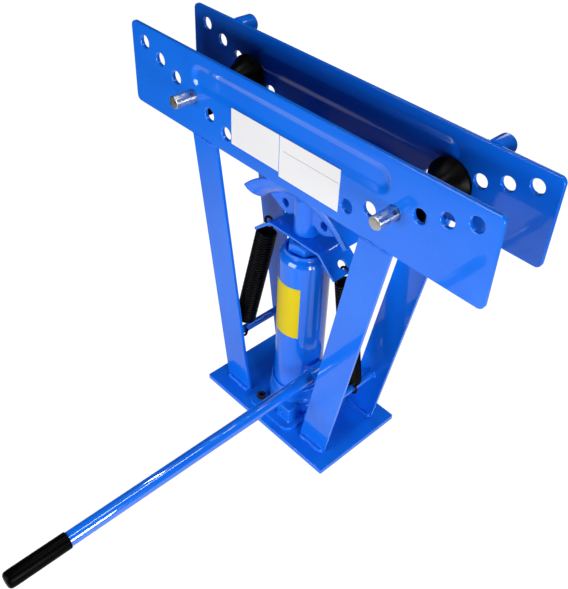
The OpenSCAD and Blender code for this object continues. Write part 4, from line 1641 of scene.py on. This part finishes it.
@dataclass
class Yoke:
    """The bent bar that the ram lifts and the springs pull down."""

    y: float = -6.0
    top: float = 328.0
    thickness: float = 4.0
    width: float = 50.0
    bend_x: float = 46.5
    wing: float = 40.5
    angle: float = 40.0
    bend_r: float = 6.0
    nose_r: float = 12.05
    hole_r: float = 6.5
    hole_s: float = 26.0
    corner: float = 1.5
    edge: float = 0.8

    def _bend_line(self) -> Point3:
        """Works out the bend on the sheet's middle line.

        Returns:
            Its angle, its radius and how far from the yoke's middle it starts.
        """
        turn = math.radians(self.angle)
        middle = self.bend_r + self.thickness / 2
        start = self.bend_x - (self.thickness / 2 + middle) * math.tan(turn / 2)
        return turn, middle, start

    def _bend(self, s: float, height: float) -> tuple[float, float]:
        """Bends the blank.

        Args:
            s: distance from the middle along the sheet's middle line.
            height: distance above the middle line.

        Returns:
            The point's x and z.
        """
        turn, middle, start = self._bend_line()
        reach = abs(s)
        z0 = self.top - self.thickness / 2
        if reach <= start:
            x, z, tilt = reach, z0, 0.0
        elif reach <= start + middle * turn:
            tilt = (reach - start) / middle
            x = start + middle * math.sin(tilt)
            z = z0 - middle * (1 - math.cos(tilt))
        else:
            tilt = turn
            rest = reach - start - middle * turn
            x = start + middle * math.sin(turn) + rest * math.cos(turn)
            z = z0 - middle * (1 - math.cos(turn)) - rest * math.sin(turn)
        return math.copysign(x + height * math.sin(tilt), s), z + height * math.cos(tilt)

    def _length_to(self, slope: float) -> float:
        """Measures along the sheet's middle line.

        Args:
            slope: a distance down the wing from the bend's outer corner.

        Returns:
            The distance from the yoke's middle.
        """
        turn, middle, start = self._bend_line()
        return start + middle * turn + slope - (self.bend_x - start)

    def build(self, palette: Palette) -> None:
        """Builds the yoke from its flat blank.

        Args:
            palette: the finishes.
        """
        half, reach = self.width / 2, self._length_to(self.wing)
        ends = ((-reach, -half), (reach, -half), (reach, half), (-reach, half))
        corners = filleted([(u, v, self.corner) for u, v in ends], 3)
        long_side, steps = 20, 60
        outline: list[Point2] = []
        for (u, v), (next_u, next_v) in zip(corners, corners[1:] + corners[:1]):
            count = steps if abs(u - next_u) > long_side else 1
            outline += [(u + (next_u - u) * k / count, v + (next_v - v) * k / count) for k in range(count)]
        hole = self._length_to(self.hole_s)
        holes = [circle(0.0, 0.0, self.nose_r, 48)]
        holes += [circle(sign * hole, 0.0, self.hole_r, 36) for sign in (1, -1)]
        sheet = Sheet(outline, holes, self.thickness, self.edge, self._bend_loops(half))

        def place(s: float, v: float, height: float) -> Point3:
            """Bends the blank into the yoke."""
            x, z = self._bend(s, height)
            return (x, self.y + v, z)

        adopt(sheet.build("yoke_bent", place, palette.blue), "ram", Slot.BLUE, "yoke")

    def _bend_loops(self, half: float) -> list[list[Point2]]:
        """Draws narrow loops across the blank, so that its faces follow the bends.

        Args:
            half: half of the blank's width.

        Returns:
            The loops.
        """
        middle, pitch, thin = self._length_to(0.0), 1.3, 0.01
        reach = half - 1.2
        loops = []
        for sign in (-1, 1):
            for k in range(-4, 5):
                s = sign * (middle + k * pitch)
                loops.append([(s, -reach), (s, reach), (s + thin, reach), (s + thin, -reach)])
        return loops


@dataclass
class ReturnSpring:
    """A close-wound spring with a hook round the rod and one through the yoke's wing.

    Attributes:
        side: -1 for left and 1 for right.
        foot_y: where its hook sits along the rod.
        coil_start: from the hook's middle to the coil.
        slack: how far the hooks' middles lie inside the rod's and the wing's.
        foot_tail: straight end of the foot's hook.
        curl_gap: the least air between two turns.
        hook_turn: sweep of the head's hook, in degrees.
    """

    side: int
    foot_y: float
    coil_start: float
    foot: Point2 = (97.48, 98.0)
    head: Point3 = (73.175, -6.0, 303.006)
    wire: float = 3.8
    outer: float = 31.0
    slack: float = 1.5
    foot_ring: float = 9.7
    head_ring: float = 8.172
    foot_tail: float = 8.0
    coil_end_gap: float = 15.0
    curl_gap: float = 0.6
    hook_turn: float = 215.0

    def _line(self, length: float) -> list[Vector]:
        """Draws the wire's centre line in its own axes: outward, sideways and along.

        Args:
            length: from the foot hook's middle to the head hook's middle.

        Returns:
            The line's points.
        """
        coil_r = (self.outer - self.wire) / 2
        coil_end = length - self.coil_end_gap
        curls = math.floor((coil_end - self.coil_start) / (self.wire + self.curl_gap))
        pitch = (coil_end - self.coil_start) / curls

        def ring(radius: float, degrees: float, at: float) -> Vector:
            """A point of a hook."""
            a = math.radians(degrees)
            return Vector((radius * math.cos(a), 0.0, at + radius * math.sin(a)))

        def curve(p: Vector, q: Vector, r: Vector, s: Vector, t: float) -> Vector:
            """A point of a Bezier curve."""
            return (1 - t) ** 3 * p + 3 * (1 - t) ** 2 * t * q + 3 * (1 - t) * t * t * r + t ** 3 * s

        steps, bend_steps = 24, 10
        foot, head = Vector((self.foot_ring, 0, 0)), Vector((self.head_ring, 0, length))
        low, high = Vector((coil_r, 0, self.coil_start)), Vector((coil_r, 0, coil_end))
        a = math.radians(self.hook_turn)
        away = self.wire * Vector((-math.sin(a), 0, math.cos(a)))
        line = [Vector((-self.foot_ring, 0, self.foot_tail))]
        line += [ring(self.foot_ring, 180 * (i / steps - 1), 0) for i in range(steps)]
        leave, enter = foot + Vector((0, 0, 9)), low + Vector((0, -9, -pitch / 10))
        line += [curve(foot, leave, enter, low, i / bend_steps) for i in range(bend_steps)]
        for i in range(curls * steps + 1):
            turn = 2 * math.pi * i / steps
            rise = self.coil_start + pitch * i / steps
            line.append(Vector((coil_r * math.cos(turn), coil_r * math.sin(turn), rise)))
        leave, enter = high + Vector((0, 8, pitch * 0.4)), head + Vector((0, 5, -9))
        line += [curve(high, leave, enter, head, i / bend_steps) for i in range(1, bend_steps)]
        line += [ring(self.head_ring, self.hook_turn * i / steps, length) for i in range(steps + 1)]
        line.append(ring(self.head_ring, self.hook_turn, length) + away)
        return line

    def build(self, palette: Palette, sweep: WireSweep) -> None:
        """Builds the spring, stretched between the frame and the ram.

        Args:
            palette: the finishes.
            sweep: sweeps the wire.
        """
        foot = Vector((self.foot[0], self.foot_y, self.foot[1]))
        head = Vector(self.head)
        w = (head - foot).normalized()
        foot, head = foot + self.slack * w, head - self.slack * w
        u = (Vector((1, 0, 0)) - w.x * w).normalized()
        v = w.cross(u)
        line = [foot + p.x * u + p.y * v + p.z * w for p in self._line((head - foot).length)]
        name = "left" if self.side < 0 else "right"
        path = path_object(f"spring_{name}_wound", [(self.side * p.x, p.y, p.z) for p in line])
        spring = sweep.apply(path, Radius=self.wire / 2 * MM, Sides=12, Material=palette.black_wire)
        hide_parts(f"spring_{name}")
        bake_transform(spring)
        LOG.info("%s: %d faces between frame and ram", spring.name, len(spring.data.polygons))


@dataclass
class Lever:
    """The pump lever's socket, the handle tube in it and the grip."""

    x: float = 50.0
    z: float = 109.0
    handle_r: float = 9.5
    handle_wall: float = 1.8
    handle_y: tuple[float, float] = (-500.0, 21.7)
    grip_r: float = 10.75
    grip_len: float = 78.0
    grip_y: float = -503.0
    weld_x: float = 9.9
    weld_y: Point2 = (-11.0, 25.5)
    weld_drop: float = 7.8

    def build(self, palette: Palette, bead: WeldBead) -> None:
        """Builds the socket, the handle and the grip.

        Args:
            palette: the finishes.
            bead: lays the welds.
        """
        socket = Shaper.bevelled("lever_socket", "lever_socket_welded", palette.blue, 0.5, 2)
        adopt(socket, "lever", Slot.BLUE, "lever_socket")
        steps = 20
        front, back = self.weld_y
        for side, name in ((-1, "left"), (1, "right")):
            x, z = self.x + side * self.weld_x, self.z - self.weld_drop
            line = [(x, front + (back - front) * k / steps, z) for k in range(steps + 1)]
            bead.lay(f"lever_socket_weld_{name}", line, (1.8, 2.0, 0.8), 41.0 + side, palette.weld_blue,
                     "lever")
        low, high = self.handle_y
        inner = self.handle_r - self.handle_wall
        profile = filleted([
            (inner, low, 0.3), (self.handle_r, low, 0.5), (self.handle_r, high, 0.5), (inner, high, 0.3)], 3)
        handle = lathe("handle_tube_drawn", profile, along_y(self.x, 0.0, self.z), palette.tube_blue, 72)
        adopt(handle, "handle", Slot.BLUE, "handle_tube")
        bore, length, end = self.handle_r + 0.05, self.grip_len, 3.0
        profile = filleted([
            (0.0, 0.0), (self.grip_r - 0.6, 0.0, 4.5), (self.grip_r, 9.0, 6.0), (self.grip_r, length, 0.7),
            (bore, length, 0.3), (bore, end), (0.0, end)], 6)
        grip = lathe("grip_moulded", profile, along_y(self.x, self.grip_y, self.z), palette.rubber, 72, 60)
        adopt(grip, "handle", Slot.RUBBER, "grip")


@dataclass
class Labels:
    """The bare labels on the front plate and on the reservoir.

    Attributes:
        front_y: the front plate's outer face.
        high: top edge of the plate's labels.
        spans: left end, right end and height of each label on the plate.
        wrap_z: lower and upper edge of the reservoir's label.
        wrap_start: where that label starts round the tube, in degrees.
        wrap_sweep: how far it goes round, in degrees.
    """

    front_y: float = -55.5
    high: float = 484.5
    spans: dict[str, Point3] = field(default_factory=lambda: {
        "plate_label_left": (-94.0, -7.0, 50.0), "plate_label_right": (-6.0, 93.0, 56.0)})
    thickness: float = 0.25
    corner: float = 0.8
    tube_r: float = 36.0
    tube_y: float = -6.0
    wrap_z: Point2 = (165.0, 254.0)
    wrap_start: float = -152.0
    wrap_sweep: float = 100.0

    def build(self, palette: Palette) -> None:
        """Builds the three labels.

        Args:
            palette: the finishes.
        """
        finishes = {"plate_label_left": palette.white, "plate_label_right": palette.ruled}
        for node, (start, end, height) in self.spans.items():
            low, high = self.high - height, self.high
            ends = ((start, low), (end, low), (end, high), (start, high))
            outline = filleted([(u, v, self.corner) for u, v in ends], 3)
            sheet = Sheet(outline, (), self.thickness, 0.08, edge_steps=1)
            middle = self.front_y - self.thickness / 2
            film = sheet.build(f"{node}_film", lambda u, v, h, y=middle: (u, y - h, v), finishes[node])
            adopt(film, "frame", Slot.WHITE, node)
        self._reservoir_label(palette)

    def _reservoir_label(self, palette: Palette) -> None:
        """Builds the label that is wrapped round the reservoir.

        Args:
            palette: the finishes.
        """
        inner, outer = self.tube_r, self.tube_r + self.thickness
        low, high = self.wrap_z
        steps = 56
        points: list[Point3] = []
        for k in range(steps + 1):
            angle = math.radians(self.wrap_start) + math.radians(self.wrap_sweep) * k / steps
            for reach, z in ((inner, low), (outer, low), (outer, high), (inner, high)):
                points.append((reach * math.cos(angle), self.tube_y + reach * math.sin(angle), z))
        faces = [(4 * k + i, 4 * k + (i + 1) % 4, 4 * k + 4 + (i + 1) % 4, 4 * k + 4 + i)
                 for k in range(steps) for i in range(4)]
        faces += [(0, 1, 2, 3), tuple(4 * steps + i for i in range(4))]
        film = solid("jack_label_film", points, faces, palette.yellow, 40)
        adopt(film, "frame", Slot.YELLOW, "jack_label")


# The scene


@dataclass(frozen=True)
class Lamp:
    """A soft rectangular lamp.

    Attributes:
        name: what it is called.
        spot: where it hangs, in metres.
        target: what it points at, in metres.
        size: its width and height, in metres.
        power: in watts.
    """

    name: str
    spot: Point3
    target: Point3
    size: Point2
    power: float

    def hang(self) -> None:
        """Adds the lamp to the scene."""
        data = bpy.data.lights.new(self.name, "AREA")
        data.shape = "RECTANGLE"
        data.size, data.size_y = self.size
        data.energy = self.power
        lamp = bpy.data.objects.new(self.name, data)
        bpy.context.scene.collection.objects.link(lamp)
        facing = (Vector(self.target) - Vector(self.spot)).to_track_quat("-Z", "Y")
        lamp.matrix_world = Matrix.Translation(self.spot) @ facing.to_matrix().to_4x4()


@dataclass
class Studio:
    """The camera, the lamps, the world and the floor.

    Attributes:
        azimuth: the camera's angle round the object, from the front, in degrees.
        elevation: its angle above the floor, in degrees.
        roll: how far it is tilted, in degrees.
        distance: from the target, in metres.
        target: what it looks at, in metres.
        focal_px: its focal length, in the photograph's pixels.
        image: the photograph's width and height.
        centre_px: where the camera's axis meets the photograph.
        middle: what the soft lamps point at, in metres.
    """

    azimuth: float = 43.4
    elevation: float = 38.6
    roll: float = 3.86
    distance: float = 1.101
    target: Point3 = (0.0, 0.0, 0.2572)
    focal_px: float = 799.0
    image: tuple[int, int] = (568, 589)
    centre_px: Point2 = (307.5, 270.5)
    middle: Point3 = (0.0, 0.0, 0.28)

    def build(self) -> None:
        """Builds the whole studio."""
        self._camera()
        self._lamps()
        self._world()
        self._floor()

    def _camera(self) -> None:
        """Sets up a camera at the photograph's angle."""
        a, e, r = (math.radians(v) for v in (self.azimuth, self.elevation, self.roll))
        back = Vector((math.sin(a) * math.cos(e), -math.cos(a) * math.cos(e), math.sin(e)))
        right = Vector((math.cos(a), math.sin(a), 0.0))
        up = back.cross(right)
        x = right * math.cos(r) + up * math.sin(r)
        y = up * math.cos(r) - right * math.sin(r)
        data = bpy.data.cameras.new("camera")
        camera = bpy.data.objects.new("camera", data)
        bpy.context.scene.collection.objects.link(camera)
        place = Matrix((x, y, back)).transposed().to_4x4()
        place.translation = Vector(self.target) + back * self.distance
        camera.matrix_world = place
        width, height = self.image
        size = max(self.image)
        data.sensor_width = 36.0
        data.lens = self.focal_px / size * data.sensor_width
        data.shift_x = (width / 2 - self.centre_px[0]) / size
        data.shift_y = (self.centre_px[1] - height / 2) / size
        data.clip_end = 50.0
        bpy.context.scene.camera = camera

    def _lamps(self) -> None:
        """Hangs lamps in front, on the right and behind, and two narrow ones overhead for the edges."""
        lamps = (
            Lamp("front", (-0.22, -1.55, 0.58), self.middle, (0.9, 0.6), 17.0),
            Lamp("right", (1.24, -0.42, 0.48), self.middle, (0.5, 0.5), 12.5),
            Lamp("overhead", (0.48, 0.48, 2.0), (0.48, 0.48, 0.0), (0.2, 1.9), 11.0),
            Lamp("left", (-0.60, 0.20, 1.9), (-0.60, 0.20, 0.0), (0.7, 0.1), 5.0),
            Lamp("behind", (-0.2, 1.7, 0.95), self.middle, (1.2, 0.8), 6.0))
        for lamp in lamps:
            lamp.hang()

    def _world(self) -> None:
        """A plain pale surround that the camera sees as white."""
        world = bpy.data.worlds.new("surround")
        bpy.context.scene.world = world
        world.use_nodes = True
        t = TreeBuilder(world.node_tree)
        path = t.node("ShaderNodeLightPath")
        seen = t.maths("MAXIMUM", t.wire(path, "Is Camera Ray"), t.wire(path, "Is Transmission Ray"))
        dim = 0.015
        strength = seen * (1 - dim) + dim
        sky = t.node("ShaderNodeBackground", None, {"Color": (1.0, 1.0, 1.0, 1.0), "Strength": strength})
        t.node("ShaderNodeOutputWorld", None, {0: t.wire(sky)})

    def _floor(self) -> None:
        """A plain pale floor that keeps the object's shadow; for bounced rays it carries a painted pool of
        light, pale near the middle and dark further out.
        """
        mesh = bpy.data.meshes.new("floor")
        reach = 6.0
        corners = ((-reach, -reach), (reach, -reach), (reach, reach), (-reach, reach))
        mesh.from_pydata([(x, y, 0.0) for x, y in corners], [], [(0, 1, 2, 3)])
        s = Surface("pale floor")
        camera = s.wire(s.node("ShaderNodeLightPath"), "Is Camera Ray")
        x, y, _ = s.axes()
        # Painted pool of light seen by bounced rays: pale near the middle, dark beyond about a metre.
        bright_to, dark_from = 0.5, 1.0
        far = s.between((x * x + y * y) ** 0.5, bright_to, dark_from)
        painted_light_pool = s.mix(far, tint(0.85, 0.85, 0.85), tint(0.1, 0.1, 0.1))
        bounce = s.node("ShaderNodeBsdfDiffuse", None, {"Color": painted_light_pool})
        plain = s.node("ShaderNodeBsdfDiffuse", None, {"Color": tint(0.9, 0.9, 0.9)})
        lit = s.node("ShaderNodeEmission", None, {"Color": tint(1.0, 1.0, 1.0), "Strength": 1.15})
        seen = s.node("ShaderNodeMixShader", None, {0: 0.85, 1: s.wire(plain), 2: s.wire(lit)})
        both = s.node("ShaderNodeMixShader", None, {0: camera, 1: s.wire(bounce), 2: s.wire(seen)})
        s.node("ShaderNodeOutputMaterial", None, {0: s.wire(both)})
        link("floor", mesh, s.material)


def dress_cad_nodes(nodes: dict[str, bpy.types.Object], palette: Palette) -> None:
    """Gives the CAD nodes that keep their mesh their finishes.

    Args:
        nodes: every CAD node by name.
        palette: the finishes.
    """
    finishes = {
        "pressure_tube": palette.steel, "wiper_ring": palette.seal, "valve_balls": palette.steel,
        "pump_barrel": palette.steel, "pump_gland": palette.blue, "fulcrum_pin": palette.zinc,
        "pump_plunger": palette.steel, "plunger_pin": palette.zinc, "release_valve": palette.blue,
        "piston_seal": palette.seal}
    for name, finish in finishes.items():
        for material_slot in nodes[name].material_slots:
            material_slot.material = finish


def main() -> None:
    """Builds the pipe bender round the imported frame."""
    logging.basicConfig(level=logging.INFO, format="%(name)s %(message)s")
    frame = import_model()
    bpy.context.scene.view_settings.view_transform = "Standard"
    Studio().build()
    palette = Palette()
    dress_cad_nodes(frame["nodes"], palette)
    bead, sweep, screws = WeldBead(), WireSweep(), CapScrews()
    Foot().build(palette)
    for side in (-1, 1):
        SidePlate(side).build(palette)
        Roller(side).build(palette)
        for row in (-1, 1):
            Leg(side, row).build(palette, bead)
    CrossParts().build(palette, bead)
    Jack().build(palette, screws)
    Yoke().build(palette)
    ReturnSpring(side=-1, foot_y=-34.0, coil_start=25.0).build(palette, sweep)
    ReturnSpring(side=1, foot_y=5.0, coil_start=15.0).build(palette, sweep)
    die = Shaper.cast("bending_die", "bending_die_cast", palette.cast_blue, 1.0, 6)
    adopt(die, "die", Slot.BLUE, "bending_die")
    Lever().build(palette, bead)
    Labels().build(palette)


if __name__ == "__main__":
    main()
